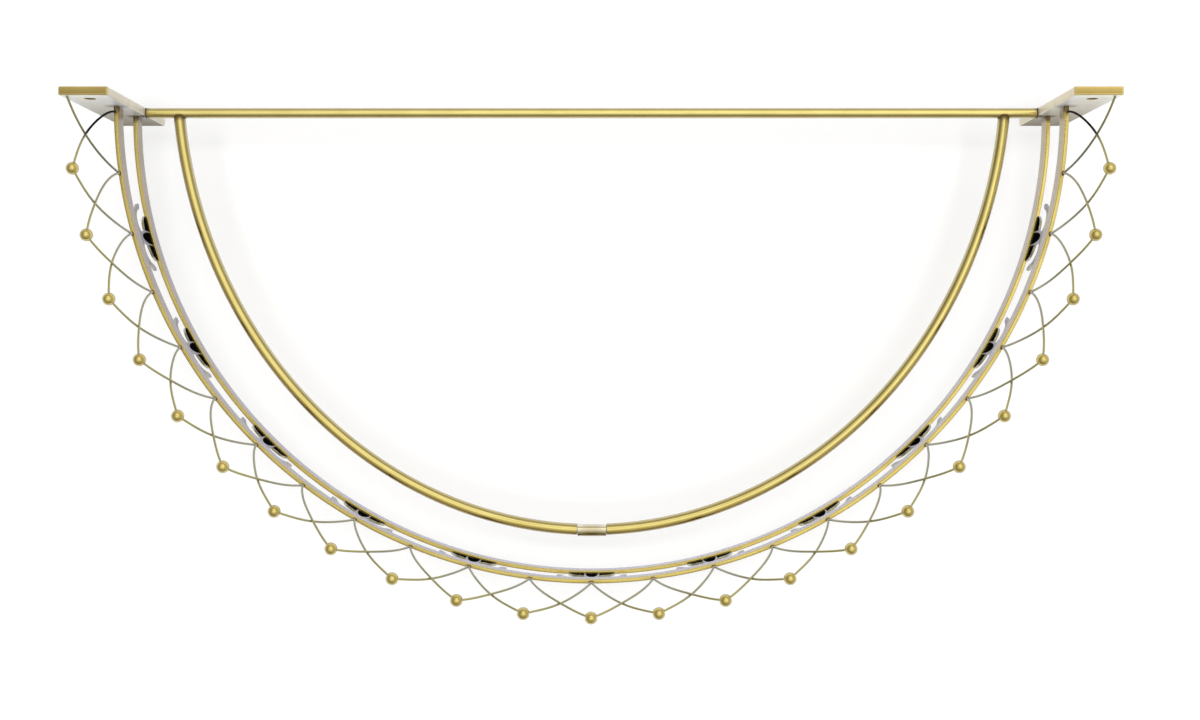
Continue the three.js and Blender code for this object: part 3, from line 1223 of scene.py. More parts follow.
    def build(self) -> None:
        """Makes and dresses both plates."""
        material = self.finish.material()
        for side, node in ((-1, "left_wall_plate"), (1, "right_wall_plate")):
            mesh = self._plate_mesh()
            mesh.transform(Matrix.Translation((side * (self.half_width - self.width / 2), 0, 0)))
            mesh.materials.clear()
            mesh.materials.append(material)
            present(shown(f"{node}_gold", mesh), [node])


@dataclass
class Bands:
    """The upper and the lower half-round band."""

    edge: float = 0.0011
    edge_steps: int = 5
    steps: int = 180

    def __post_init__(self) -> None:
        """Chooses the finish."""
        shape = Round()
        middle = shape.radius - shape.thickness / 2
        marks = (
            HeatMark((middle, HALF_ROUND_CENTRE_Y, shape.upper_top), reach=0.009),
            HeatMark((middle, HALF_ROUND_CENTRE_Y, shape.lower_top), reach=0.007),
        )
        self.finish = BrushedGold(
            "band_gold",
            Grain.ROUND,
            tone=(0.87, 0.70, 0.22),
            deep=(0.72, 0.56, 0.16),
            marks=marks,
            coat=0.15,
            # Painted shade: the bands darken toward the left
            painted_shade=(PaintedShade(axis=0, start=0.3, end=-0.3, depth=0.27),),
        )

    def _tree(self) -> GeometryGraph:
        """A bar of rounded square section, swept round half a circle.

        Returns:
            The tree.
        """
        graph = GeometryGraph("half_round_bar")
        radius, thickness = graph.takes("Radius"), graph.takes("Thickness")
        height, level = graph.takes("Height"), graph.takes("Level")
        edge, steps = graph.takes("Edge"), graph.takes("Steps", "NodeSocketInt")
        material = graph.takes("Material", "NodeSocketMaterial")
        line, share = graph.bent_line(steps)
        angle = share * math.pi
        middle = radius - thickness * 0.5
        place = graph.vector(
            middle * angle.cosine() * -1.0,
            middle * angle.sine() * -1.0 + HALF_ROUND_CENTRE_Y,
            level + height * 0.5,
        )
        path = graph.placed(line, place)
        upright = graph.add("GeometryNodeSetCurveNormal", {"mode": "Z_UP"}, {"Curve": path}).out("Curve")
        size = {"Width": thickness, "Height": height}
        square = graph.add("GeometryNodeCurvePrimitiveQuadrilateral", {"mode": "RECTANGLE"}, size)
        corners = {"Curve": square.out("Curve"), "Radius": edge, "Count": self.edge_steps}
        rounded = graph.add("GeometryNodeFilletCurve", {"mode": "POLY"}, corners).out("Curve")
        graph.gives(graph.swept(upright, rounded), material)
        return graph

    def build(self) -> None:
        """Makes and dresses both bands."""
        tree = self._tree()
        material = self.finish.material()
        shape = Round()
        for node, level in (("lower_band", shape.lower_bottom), ("upper_band", shape.upper_bottom)):
            piece = tree.evaluate(
                f"{node}_gold",
                Radius=shape.radius,
                Thickness=shape.thickness,
                Height=shape.height,
                Level=level,
                Edge=self.edge,
                Steps=self.steps,
                Material=material,
            )
            outward(piece.data)
            present(piece, [node])


def rod_finish(
    name: str,
    grain: Grain,
    marks: tuple[HeatMark, ...],
    painted_side_shade: PaintedShade,
    tones: tuple[Colour, Colour],
    roughness: float,
) -> BrushedGold:
    """The bright lacquered gold that the rods share, with painted shade on both sides of the strip that
    faces up.

    Args:
        name: The material's name.
        grain: Which way it was brushed.
        marks: Where brazing has darkened it.
        painted_side_shade: How it darkens beside its highlight.
        tones: The gold's own colour and the one in its low places.
        roughness: How rough it is.

    Returns:
        The finish.
    """
    return BrushedGold(
        name,
        grain,
        marks=marks,
        tone=tones[0],
        deep=tones[1],
        roughness=roughness,
        painted_shade=(painted_side_shade,),
        coat=1.0,
        coat_roughness=0.15,
        haze=1.0,
        haze_roughness=0.4,
    )


@dataclass
class BackRod:
    """The straight rod between the wall plates.

    Its end rings are given by how far each lies from the end and how far it is drawn in.
    """

    half_length: float = 0.3626
    radius: float = 0.0042
    depth: float = 0.0045
    sides: int = 40
    end_rings: tuple[tuple[float, float], ...] = (
        (0.0, 0.0),
        (0.0004, 0.0003),
        (0.0008, 0.0),
        (0.0011, 0.0),
        (0.02, 0.0),
    )
    braze_length: float = 0.001

    def _finish(self) -> BrushedGold:
        """Chooses the finish, darkened where the plates and the curtain rod meet it.

        Returns:
            The rod's finish.
        """
        marks = (
            HeatMark((self.half_length, -self.depth, ROD_LEVEL), reach=0.0062),
            HeatMark((CurtainRod().joint_x, -self.depth - self.radius, ROD_LEVEL), reach=0.0066),
        )
        # Painted shade on the rod's sides, leaving a narrow bright strip along its top
        painted_side_shade = PaintedShade.beside_highlight(ROD_LEVEL, self.radius, bright=0.985, painted_shade_at=0.8, depth=0.4)
        tones = (0.93, 0.78, 0.26), (0.76, 0.61, 0.17)
        return rod_finish("back_rod_gold", Grain.ALONG_X, marks, painted_side_shade, tones, roughness=0.22)

    def build(self) -> None:
        """Makes and dresses the rod."""
        half = [(self.half_length - inward, self.radius - drawn) for inward, drawn in self.end_rings]
        stations = [(-x, radius) for x, radius in half] + half[::-1]
        turns = steps_round(self.sides)
        rings = [
            [(x, y, z) for y, z in arc(-self.depth, ROD_LEVEL, radius, turns)] for x, radius in stations
        ]
        mesh = lofted("back_rod_gold", np.array(rings))
        from_end = self.half_length - np.abs(points_of(mesh)[:, 0])
        note_points(mesh, "recess", np.where(from_end < self.braze_length, BRAZE_DIRT, 0.0))
        mesh.materials.append(self._finish().material())
        present(shown("back_rod_gold", mesh), ["back_rod"])


@dataclass
class CurtainRod:
    """The two bowed tubes that the hangings slide on.

    The eased rings at a tube's open end are given by how far each is turned on and how far it is drawn
    in. The coped ones at the back rod are given by how far each stops short of the rod and by how much
    of the way its highest and lowest points have sunk to reach it.
    """

    half_width: float = 0.3377
    depth: float = 0.3773
    centre_y: float = 0.0338
    radius: float = 0.00475
    bore: float = 0.00395
    start_x: float = 0.0119
    steps: int = 150
    sides: int = 40
    eased: tuple[tuple[float, float], ...] = ((0.0, 0.0002), (0.0005, 0.00005))
    whole_from: float = 0.0014
    whole_to: float = 0.0022
    coped: tuple[tuple[float, float], ...] = ((0.0011, 0.0), (0.0006, 0.35), (0.0002, 0.8), (0.0, 1.0))
    cope_limit: float = 0.94
    braze_depth: float = 0.0046

    def _angle_short_of_rod(self, gap: float) -> float:
        """Where on the ellipse the tube's axis comes within a gap of the back rod's surface"""
        return math.acos((self.centre_y + BackRod.depth + BackRod.radius + gap) / self.depth)

    @property
    def joint_x(self) -> float:
        """How far from the middle the tube meets the back rod"""
        return self.half_width * math.sin(self._angle_short_of_rod(0.0))

    def _axis_point(self, angle: float) -> Vector:
        """A point on the tube's axis on the right side"""
        x = self.half_width * math.sin(angle)
        return Vector((x, self.centre_y - self.depth * math.cos(angle), ROD_LEVEL))

    def _ring(self, angle: float, radius: float) -> np.ndarray:
        """Places a ring of the right tube square to its axis.

        Args:
            angle: Where on the ellipse it lies.
            radius: Its radius.

        Returns:
            The ring's points, one row each.
        """
        up, centre = Vector((0, 0, 1)), self._axis_point(angle)
        across = (self._axis_point(angle + 1e-4) - centre).normalized().cross(up)
        outwards = [math.cos(a) * across + math.sin(a) * up for a in steps_round(self.sides)]
        return np.array([tuple(centre + radius * way) for way in outwards])

    def _coped(self, ring: np.ndarray, ahead: float, drop: float) -> np.ndarray:
        """Moves a ring's points forward until they lie on the back rod, or so far ahead of it.

        Args:
            ring: The last whole ring.
            ahead: How far before the rod's surface it stops.
            drop: How far the highest and lowest points sink to reach the rod.

        Returns:
            The coped ring.
        """
        moved = ring.copy()
        rise = ring[:, 2] - ROD_LEVEL
        lowered = np.sign(rise) * np.minimum(np.abs(rise), BackRod.radius * self.cope_limit)
        depth = np.sqrt(np.maximum(BackRod.radius**2 - lowered**2, 0))
        moved[:, 1] = -BackRod.depth - depth - ahead
        moved[:, 2] = ROD_LEVEL + rise + (lowered - rise) * drop
        return moved

    def _tube(self, name: str) -> bpy.types.Mesh:
        """Makes the right tube, from the coupling to the back rod.

        Args:
            name: The mesh's name.

        Returns:
            The tube's mesh.
        """
        start = math.asin(self.start_x / self.half_width)
        end = self._angle_short_of_rod(self.whole_to)
        rings = [self._ring(start, self.bore)]
        rings += [self._ring(start + turn, self.radius - drawn) for turn, drawn in self.eased]
        turns = np.linspace(start + self.whole_from, end, self.steps)
        rings += [self._ring(float(angle), self.radius) for angle in turns]
        last = rings[-1]
        rings += [self._coped(last, ahead, drop) for ahead, drop in self.coped]
        mesh = lofted(name, np.array(rings))
        from_rod = -points_of(mesh)[:, 1] - BackRod.depth
        note_points(mesh, "recess", np.where(from_rod < self.braze_depth, BRAZE_DIRT, 0.0))
        return mesh

    def _finish(self) -> BrushedGold:
        """Chooses the finish, darkened where the tubes meet the back rod.

        Returns:
            The tubes' finish.
        """
        marks = (HeatMark((self.joint_x, -BackRod.depth - BackRod.radius, ROD_LEVEL), reach=0.0066),)
        # Painted shade on the tubes' sides, leaving a narrow bright strip along their top
        painted_side_shade = PaintedShade.beside_highlight(ROD_LEVEL, self.radius, bright=0.985, painted_shade_at=0.8, depth=0.42)
        tones = (0.86, 0.72, 0.23), (0.69, 0.55, 0.15)
        return rod_finish("curtain_rod_gold", Grain.BOWED, marks, painted_side_shade, tones, roughness=0.2)

    def build(self) -> None:
        """Makes and dresses both tubes."""
        material = self._finish().material()
        for side, node in ((1, "right_curtain_rod"), (-1, "left_curtain_rod")):
            mesh = self._tube(f"{node}_gold")
            mesh.transform(Matrix.Diagonal((side, 1, 1, 1)))
            outward(mesh)
            mesh.materials.append(material)
            present(shown(f"{node}_gold", mesh), [node])


@dataclass
class FrontCoupling:
    """The turned coupling that joins the two tubes, on a stud in the end of each."""

    length: float = 0.0236
    radius: float = 0.0047
    bore: float = 0.00262
    bevel: float = 0.00025
    mouth: float = 0.0004
    ease: float = 0.0001
    sides: int = 48
    axis_y: float = -0.3441
    # Painted shade over the coupling's front half, fading out towards its back
    painted_highlight_y: float = 0.0014
    painted_shade_y: float = 0.0002

    def build(self) -> None:
        """Makes and dresses the coupling and gives the studs their steel."""
        end, lip = self.length / 2, self.radius - self.bevel
        half = [
            (self.bore, 0.0),
            (self.bore, end - self.mouth),
            (self.bore + self.mouth, end),
            (lip - self.ease, end),
            (lip + self.ease, end - self.ease / 2),
            (self.radius - self.ease, end - self.bevel + self.ease),
            (self.radius, end - self.bevel - self.ease),
            (self.radius, 0.0),
        ]
        profile = half + [(r, -z) for r, z in reversed(half[1:-1])]
        place = Matrix.Translation((0, self.axis_y, ROD_LEVEL)) @ Matrix.Rotation(math.pi / 2, 4, "Y")
        mesh = turned_round("rod_coupling_polished", profile, self.sides, place)
        finish = BrushedGold(
            "polished_coupling_gold",
            Grain.TURNED,
            tone=(0.84, 0.72, 0.46),
            deep=(0.68, 0.58, 0.36),
            worn=(0.95, 0.88, 0.68),
            soot_and_shade_colour=(0.09, 0.10, 0.06),
            roughness=0.24,
            coat=0.3,
            coat_roughness=0.12,
            haze=0.1,
            streak_width=0.0003,
            # Painted shade: darker in front, a bright strip behind
            painted_shade=(PaintedShade(1, self.axis_y + self.painted_highlight_y, self.axis_y + self.painted_shade_y, 0.38),),
        )
        mesh.materials.append(finish.material())
        sleeve = shown("rod_coupling_polished", mesh)
        present(sleeve, ["rod_coupling"], COUPLING_BODY, sharp=50)
        steel = StudSteel().material()
        for node in ("left_coupling_stud", "right_coupling_stud"):
            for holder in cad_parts[node].material_slots:
                holder.material = steel


@dataclass
class WireGallery:
    """The pointed arches of wire that stand on the upper band and lean outwards.

    A limb follows a curve with two handles, each given as shares of the limb's width and height.
    """

    wire_radius: float = 0.00088
    height: float = 0.0576
    flare: float = 0.019
    half_height: float = 0.049
    half_flare: float = 0.022
    flare_exponent: float = 1.93
    weave_exponent: float = 2.4
    crossing_shift: float = 0.00092
    foot_handle: tuple[float, float] = (0.943, 0.565)
    peak_handle: tuple[float, float] = (0.39, 0.854)
    foot_sink: float = 0.0002
    # Painted dark reflection and shade on the wire beside the wall plates
    half_arch_burn: float = 0.3
    painted_dark_up_to: float = 0.66
    painted_dark_fade: float = 0.12
    steps: int = 81
    sides: int = 12

    def __post_init__(self) -> None:
        """Chooses the finish."""
        self.finish = ScallopWire()
        self.round = Round()

    def _tree(self) -> GeometryGraph:
        """Arches of wire round the half round, each numbered by its place.

        Returns:
            The tree.
        """
        graph = GeometryGraph("arches_of_wire")
        height, flare = graph.takes("Height"), graph.takes("Flare")
        reach, crossing = graph.takes("Foot angle"), graph.takes("Crossing")
        start, steps = graph.takes("Start"), graph.takes("Steps", "NodeSocketInt")
        radius = graph.takes("Wire radius")
        line, share = graph.bent_line(steps)
        place = start + share * (1 - start)
        limb = 1 - abs(place)
        rest = 1 - limb
        (foot_x, foot_z), (peak_x, peak_z) = self.foot_handle, self.peak_handle
        across = rest**3.0 + 3 * rest**2.0 * limb * foot_x + 3 * rest * limb**2.0 * peak_x
        rise = 3 * rest**2.0 * limb * foot_z + 3 * rest * limb**2.0 * peak_z + limb**3.0
        bend = abs((across * math.pi).sine()) ** self.weave_exponent
        weave = crossing * self.crossing_shift * bend
        out = self.round.foot_radius + flare * rise.most(0.0) ** self.flare_exponent + weave
        angle = place.sign() * across * reach
        position = graph.vector(
            out * angle.sine(),
            out * angle.cosine() * -1.0,
            self.round.upper_top - self.foot_sink + rise * height,
        )
        noted = graph.note(line, "limb", limb, "FLOAT", "POINT")
        graph.gives_ring(graph.round_wire(graph.placed(noted, position), radius, self.sides))
        return graph

    def _arches(self, name: str, first: int, crossing: float) -> bpy.types.Object:
        """One family of whole arches, on every second place.

        Args:
            name: The object's name.
            first: The place of the first arch's peak.
            crossing: 1 for the outer family, -1 for the inner one.

        Returns:
            The arches, each numbered from 0.
        """
        shape = self.round
        return self.tree.evaluate(
            name,
            Height=self.height,
            Flare=self.flare,
            Foot_angle=shape.pitch,
            Crossing=crossing,
            Start=-1.0,
            Steps=self.steps,
            Wire_radius=self.wire_radius,
            Material=self.material,
            **shape.ring(first, shape.pitches - first, apart=2, number=0),
        )

    def _half_arch(self, side: int) -> bpy.types.Object:
        """The half arch that leaves a wall plate.

        Args:
            side: -1 for the left plate, 1 for the right one.

        Returns:
            The half arch.
        """
        shape = self.round
        piece = self.tree.evaluate(
            f"half_arch_{side + 2}",
            Height=self.half_height,
            Flare=self.half_flare,
            Foot_angle=shape.first_foot + shape.pitch,
            Crossing=0.0,
            Start=0.0,
            Steps=self.steps // 2,
            Wire_radius=self.wire_radius,
            Count=1,
            First_place=0,
            First_angle=-math.pi / 2,
            Turn=0.0,
            Material=self.material,
        )
        # Painted dark reflection and shade, lighter, along the whole half arch
        note_points(piece.data, "burnt", np.full(len(piece.data.vertices), self.half_arch_burn))
        if side > 0:
            piece.data.transform(Matrix.Diagonal((-1, 1, 1, 1)))
            outward(piece.data)
        return piece

    def _note_painted_dark(self, mesh: bpy.types.Mesh) -> None:
        """Paints dark reflection and shade on the limb beside a wall plate, from its foot to where the
        half arch crosses it.

        Args:
            mesh: The length of wire that ends at the plate.
        """
        points = points_of(mesh)
        limb = np.zeros(len(points), np.float32)
        mesh.attributes["limb"].data.foreach_get("value", limb)
        front = np.arctan2(np.abs(points[:, 0]), HALF_ROUND_CENTRE_Y - points[:, 1])
        near = front > math.pi / 2 - self.round.first_foot - self.round.pitch
        along = np.clip((self.painted_dark_up_to - limb) / self.painted_dark_fade, 0, 1)
        note_points(mesh, "burnt", near * along)

    def build(self) -> None:
        """Makes and dresses every length of wire."""
        self.tree = self._tree()
        self.material = self.finish.material()
        outer = [[0, 1], [2, 3], [4, 5], [6, 7], [8, 9], [10, 11]]
        inner = [[0], [1, 2], [3, 4], [5], [6, 7], [8, 9], [10]]
        wires = {}
        for family, first, crossing, groups in (("outer", 1, 1.0, outer), ("inner", 2, -1.0, inner)):
            arches = self._arches(f"{family}_arches", first, crossing)
            names = [f"{family}_scallop_wire_{i + 1}" for i in range(len(groups))]
            pieces = split_by_place(arches, {f"{n}_gold": places for n, places in zip(names, groups)})
            wires |= dict(zip(names, pieces))
        for side, name in ((-1, "inner_scallop_wire_1"), (1, "inner_scallop_wire_7")):
            join_into(wires[name], self._half_arch(side))
        for name in ("outer_scallop_wire_1", "outer_scallop_wire_6"):
            self._note_painted_dark(wires[name].data)
        for name, piece in wires.items():
            present(piece, [name], sharp=60)


def join_into(target: bpy.types.Object, extra: bpy.types.Object) -> None:
    """Adds an object's mesh, with what its points keep, to another object and removes it.

    Args:
        target: The object that grows.
        extra: The object that goes into it.
    """
    both = [target, extra]
    with bpy.context.temp_override(
        active_object=target, object=target, selected_objects=both, selected_editable_objects=both
    ):
        bpy.ops.object.join()


@dataclass
class BallBeads:
    """The bored ball bead on the peak of every whole arch."""

    radius: float = 0.0048
    bore: float = 0.0012
    ease: float = 0.0003
    rings: int = 19
    sides: int = 28

    def build(self) -> None:
        """Makes and dresses the beads."""
        shape, wires = Round(), WireGallery()
        mouth = math.asin((self.bore + self.ease) / self.radius)
        flat = self.radius * math.cos(mouth) - self.ease
        turns = np.linspace(mouth, math.pi - mouth, self.rings)
        ball = [(self.radius * math.sin(a), self.radius * math.cos(a)) for a in turns]
        profile = [(self.bore, flat), *ball, (self.bore, -flat)]
        top = shape.upper_top + wires.height
        centre = Matrix.Translation((0, -(shape.foot_radius + wires.flare), top))
        lying = Matrix.Rotation(math.pi / 2, 4, "Y")
        pattern = turned_round("bead_pattern", profile, self.sides, centre @ lying)
        # Painted shade round the bead, leaving a bright patch on its top
        painted_side_shade = PaintedShade.beside_highlight(top, self.radius, bright=0.97, painted_shade_at=0.5, depth=0.2)
        finish = BrushedGold(
            "bead_gold", roughness=0.22, coat=0.6, relief=0.000015, haze=1.0, painted_shade=(painted_side_shade,)
        )
        last = shape.pitches - 1
        ring = repeated("beads", pattern, shape.ring(1, last, apart=1, number=1), finish)
        for piece in split_by_place(ring, {f"bead_{i}_gold": [i] for i in range(1, last + 1)}):
            present(piece, [piece.name.removesuffix("_gold")], sharp=50)


@dataclass
class LilyOrnaments:
    """The cast lilies between the bands, domed in front and hollow behind.

    The outline runs up the right side from the middle of the foot to the top, in shares of half the
    width and of the height. Each of its bends is an end, or a handle and an end.
    """

    width: float = 0.058
    height: float = 0.0382
    back_radius: float = 0.3723
    rim_depth: float = 0.0014
    dome: float = 0.0009
    dome_reach: float = 0.0032
    vein_width: float = 0.0006
    vein_depth: float = 0.0004
    vein_fade: float = 0.01
    collar_level: float = 0.43
    collar_width: float = 0.0014
    collar_rise: float = 0.0005
    hollow: float = 0.0004
    hollow_slope: float = 0.0007
    foot_wall: float = 0.0006
    foot_open_to: float = 0.0005
    painted_shade_steepness: float = 4.0
    well: tuple[float, float] = (0.0052, 0.0245)
    foot_height: float = 0.0135
    outline_step: float = 0.0008
    spacing: float = 0.0006
    row_spacing: float = 0.87
    clearance: float = 0.6
    outline: tuple[tuple[tuple[float, float], ...], ...] = (
        ((0.655, 0.0),),
        ((0.662, 0.13), (0.55, 0.225)),
        ((0.43, 0.315), (0.262, 0.33)),
        ((0.2, 0.345), (0.196, 0.4)),
        ((0.19, 0.54), (0.14, 0.61)),
        ((0.19, 0.725), (0.4, 0.742)),
        ((0.66, 0.742), (0.77, 0.52)),
        ((0.8, 0.39), (0.88, 0.35)),
        ((0.972, 0.335), (0.968, 0.43)),
        ((0.9, 0.65), (0.7, 0.757)),
        ((0.48, 0.805), (0.238, 0.775)),
        ((0.248, 0.874), (0.11, 0.948)),
        ((0.034, 0.969), (0.0, 1.0)),
    )

    def _scaled(self, shares: tuple[float, float]) -> Vector:
        """A point of the outline in metres"""
        return Vector((shares[0] * self.width / 2, shares[1] * self.height))

    def _right_side(self) -> list[Vector]:
        """Walks up the outline's right side, from its foot to its top, in short steps.

        Returns:
            Its points.
        """
        points = [Vector((0.0, 0.0))]
        for bend in self.outline:
            start, end = points[-1], self._scaled(bend[-1])
            handle = self._scaled(bend[0]) if len(bend) == 2 else (start + end) / 2
            steps = max(2, round((end - start).length / self.outline_step))
            for i in range(1, steps + 1):
                t = i / steps
                points.append((1 - t) ** 2 * start + 2 * t * (1 - t) * handle + t * t * end)
        return points

    def _flat(self) -> tuple[np.ndarray, list[tuple[int, ...]], np.ndarray]:
        """Triangles over the flat outline.

        Returns:
            Points, triangles, and each point's distance from the outline.
        """
        right = self._right_side()
        rim = right + [Vector((-p.x, p.y)) for p in reversed(right[1:])]
        edge = np.array([tuple(p) for p in rim])
        span = np.arange(0, self.width / 2 + self.spacing, self.spacing)
        inner = []
        rows = np.arange(self.spacing / 2, self.height, self.spacing * self.row_spacing)
        for row, y in enumerate(rows):
            shift = self.spacing / 2 if row % 2 else 0.0
            inner += [(s * (x + shift), y) for x in span for s in (-1, 1) if s < 0 or x + shift > 0]
        inner = np.array(inner)
        far = distance_to_loop(inner, edge)
        inner = inner[(far > self.spacing * self.clearance) & inside_loop(inner, edge)]
        points = [Vector(p) for p in np.vstack([edge, inner])]
        loop = [list(range(len(edge)))]
        verts, _, faces, *_ = delaunay_2d_cdt(points, [], loop, 1, 1e-7)
        flat = np.array([tuple(v) for v in verts])
        return flat, [tuple(f) for f in faces], distance_to_loop(flat, edge)

    def _hollow(self, flat: np.ndarray) -> np.ndarray:
        """How deep the back is hollowed: a well up the middle and one in each foot, open below.

        Args:
            flat: Flat points of the outline, one row each.

        Returns:
            A share of the full depth for each point.
        """
        half, top = self.well
        side, level = np.abs(flat[:, 0]), flat[:, 1]
        well = half * (1 - np.hypot(side / half, level / top))
        rim = np.array([tuple(p) for p in self._right_side() if p.y > self.foot_open_to])
        mirrored = np.column_stack([side, level])
        away = np.min(np.hypot(*(mirrored[:, None, :] - rim[None, :, :]).transpose(2, 0, 1)), axis=1)
        foot = np.minimum(away - self.foot_wall, side - half - self.hollow_slope)
        foot = np.where(level < self.foot_height, foot, 0)
        return np.clip(np.maximum(well, foot) / self.hollow_slope, 0, 1)

    def _pattern(self) -> bpy.types.Mesh:
        """Makes one lily at the front, bent round the Z axis.

        Returns:
            The lily's mesh.
        """
        flat, faces, away = self._flat()
        side, level = flat[:, 0], flat[:, 1]
        swell = np.clip(away / self.dome_reach, 0, 1)
        dome = np.sqrt(np.clip(1 - (1 - swell) ** 2, 0, 1))
        vein = np.exp(-((side / self.vein_width) ** 2))
        vein *= np.clip((level - 0.5 * self.height) / self.vein_fade, 0, 1)
        collar = np.exp(-(((level - self.collar_level * self.height) / self.collar_width) ** 4))
        relief = self.dome - self.vein_depth * vein + self.collar_rise * collar
        front = self.rim_depth + relief * dome
        hollow = self._hollow(flat)
        back = hollow * self.hollow
        count = len(flat)
        points = np.vstack([np.column_stack([flat, front]), np.column_stack([flat, back])])
        skins = list(faces) + [tuple(count + i for i in reversed(face)) for face in faces]
        directed: set[tuple[int, int]] = set()
        for face in faces:
            directed |= {(face[i], face[(i + 1) % len(face)]) for i in range(len(face))}
        for a, b in directed:
            if (b, a) not in directed:
                skins.append((b, a, count + a, count + b))
        angle = points[:, 0] / self.back_radius
        radius, height = self.back_radius + points[:, 2], Round().lower_top + points[:, 1]
        bent = np.column_stack([radius * np.sin(angle), -radius * np.cos(angle), height])
        mesh = bpy.data.meshes.new("lily_pattern")
        mesh.from_pydata([tuple(p) for p in bent], [], skins)
        # Painted shade: the hollow back is painted black, fully so once it is a quarter of its full
        # depth
        sooted_and_shaded = np.clip(hollow * self.painted_shade_steepness, 0, 1)
        note_points(mesh, "recess", np.concatenate([np.zeros(count), sooted_and_shaded]))
        with editing(mesh) as shape:
            bmesh.ops.recalc_face_normals(shape, faces=shape.faces)
        return mesh

    def build(self) -> None:
        """Makes and dresses the lilies."""
        shape = Round()
        finish = BrushedGold(
            "ornament_gold",
            tone=(0.46, 0.39, 0.17),
            deep=(0.26, 0.22, 0.11),
            worn=(0.50, 0.46, 0.30),
            # The near black of the painted shade in the hollow backs
            soot_and_shade_colour=(0.003, 0.003, 0.003),
            roughness=0.33,
            relief=0.00003,
        )
        places = shape.ring(2, shape.pitches - 2, apart=2, number=1)
        ring = repeated("lilies", self._pattern(), places, finish)
        names = {f"ornament_{i}_gold": [i] for i in range(1, shape.pitches // 2)}
        for piece in split_by_place(ring, names):
            present(piece, [piece.name.removesuffix("_gold")], sharp=50)


def distance_to_loop(points: np.ndarray, loop: np.ndarray) -> np.ndarray:
    """Distance of each point from a closed outline.

    Args:
        points: Flat points, one row each.
        loop: The outline's corners, one row each.

    Returns:
        One distance for each point.
    """
    start, span = loop, np.roll(loop, -1, axis=0) - loop
    offset = points[:, None, :] - start[None, :, :]
    share = np.clip((offset * span).sum(-1) / np.maximum((span * span).sum(-1), 1e-18), 0, 1)
    return np.linalg.norm(offset - share[..., None] * span, axis=-1).min(axis=1)


def inside_loop(points: np.ndarray, loop: np.ndarray) -> np.ndarray:
    """Whether each point lies inside a closed outline.

    Args:
        points: Flat points, one row each.
        loop: The outline's corners, one row each.

    Returns:
        True or False for each point.
    """
    x, y = points[:, 0][:, None], points[:, 1][:, None]
    x0, y0 = loop[:, 0], loop[:, 1]
    x1, y1 = np.roll(x0, -1), np.roll(y0, -1)
    spans = (y0 > y) != (y1 > y)
    with np.errstate(divide="ignore", invalid="ignore"):
        crossing = x0 + (y - y0) * (x1 - x0) / (y1 - y0)
    return (spans & (x < crossing)).sum(axis=1) % 2 == 1


@dataclass
class BrazedFeet:
    """The small mounds of braze that hold the arches' feet to the upper band.

    Their profile is given in shares of their length and width and of their height.
    """

    half_length: float = 0.0023
    half_width: float = 0.0014
    height: float = 0.001
    sides: int = 16
    profile: tuple[tuple[float, float], ...] = (
        (0.0, 1.0),
        (0.3, 0.96),
        (0.55, 0.78),
        (0.75, 0.5),
        (0.9, 0.22),
        (1.0, 0.0),
        (0.0, -0.05),
    )

    def build(self) -> None:
        """Makes and dresses the mounds."""
        shape = Round()
        centre = Matrix.Translation((0, -shape.foot_radius, shape.upper_top))
        size = Matrix.Diagonal((self.half_length, self.half_width, self.height, 1))
        pattern = turned_round("foot_pattern", self.profile, self.sides, centre @ size)
        finish = BrushedGold(
            "braze_gold",
            tone=(0.26, 0.13, 0.05),
            deep=(0.10, 0.045, 0.02),
            edge_tint=(0.5, 0.35, 0.25),
            roughness=0.45,
            coat=0.0,
            haze=0.0,
        )
        places = shape.ring(1, shape.pitches - 1, apart=1, number=1)
        present(repeated("gallery_foot_braze", pattern, places, finish), [], sharp=60)


# Studio


@dataclass(frozen=True)
class SoftPanel:
    """A soft bright panel of the studio's ceiling, one metre up, as the crown's metal mirrors it."""

    right: float
    back: float
    half_width: float
    half_depth: float
    strength: float


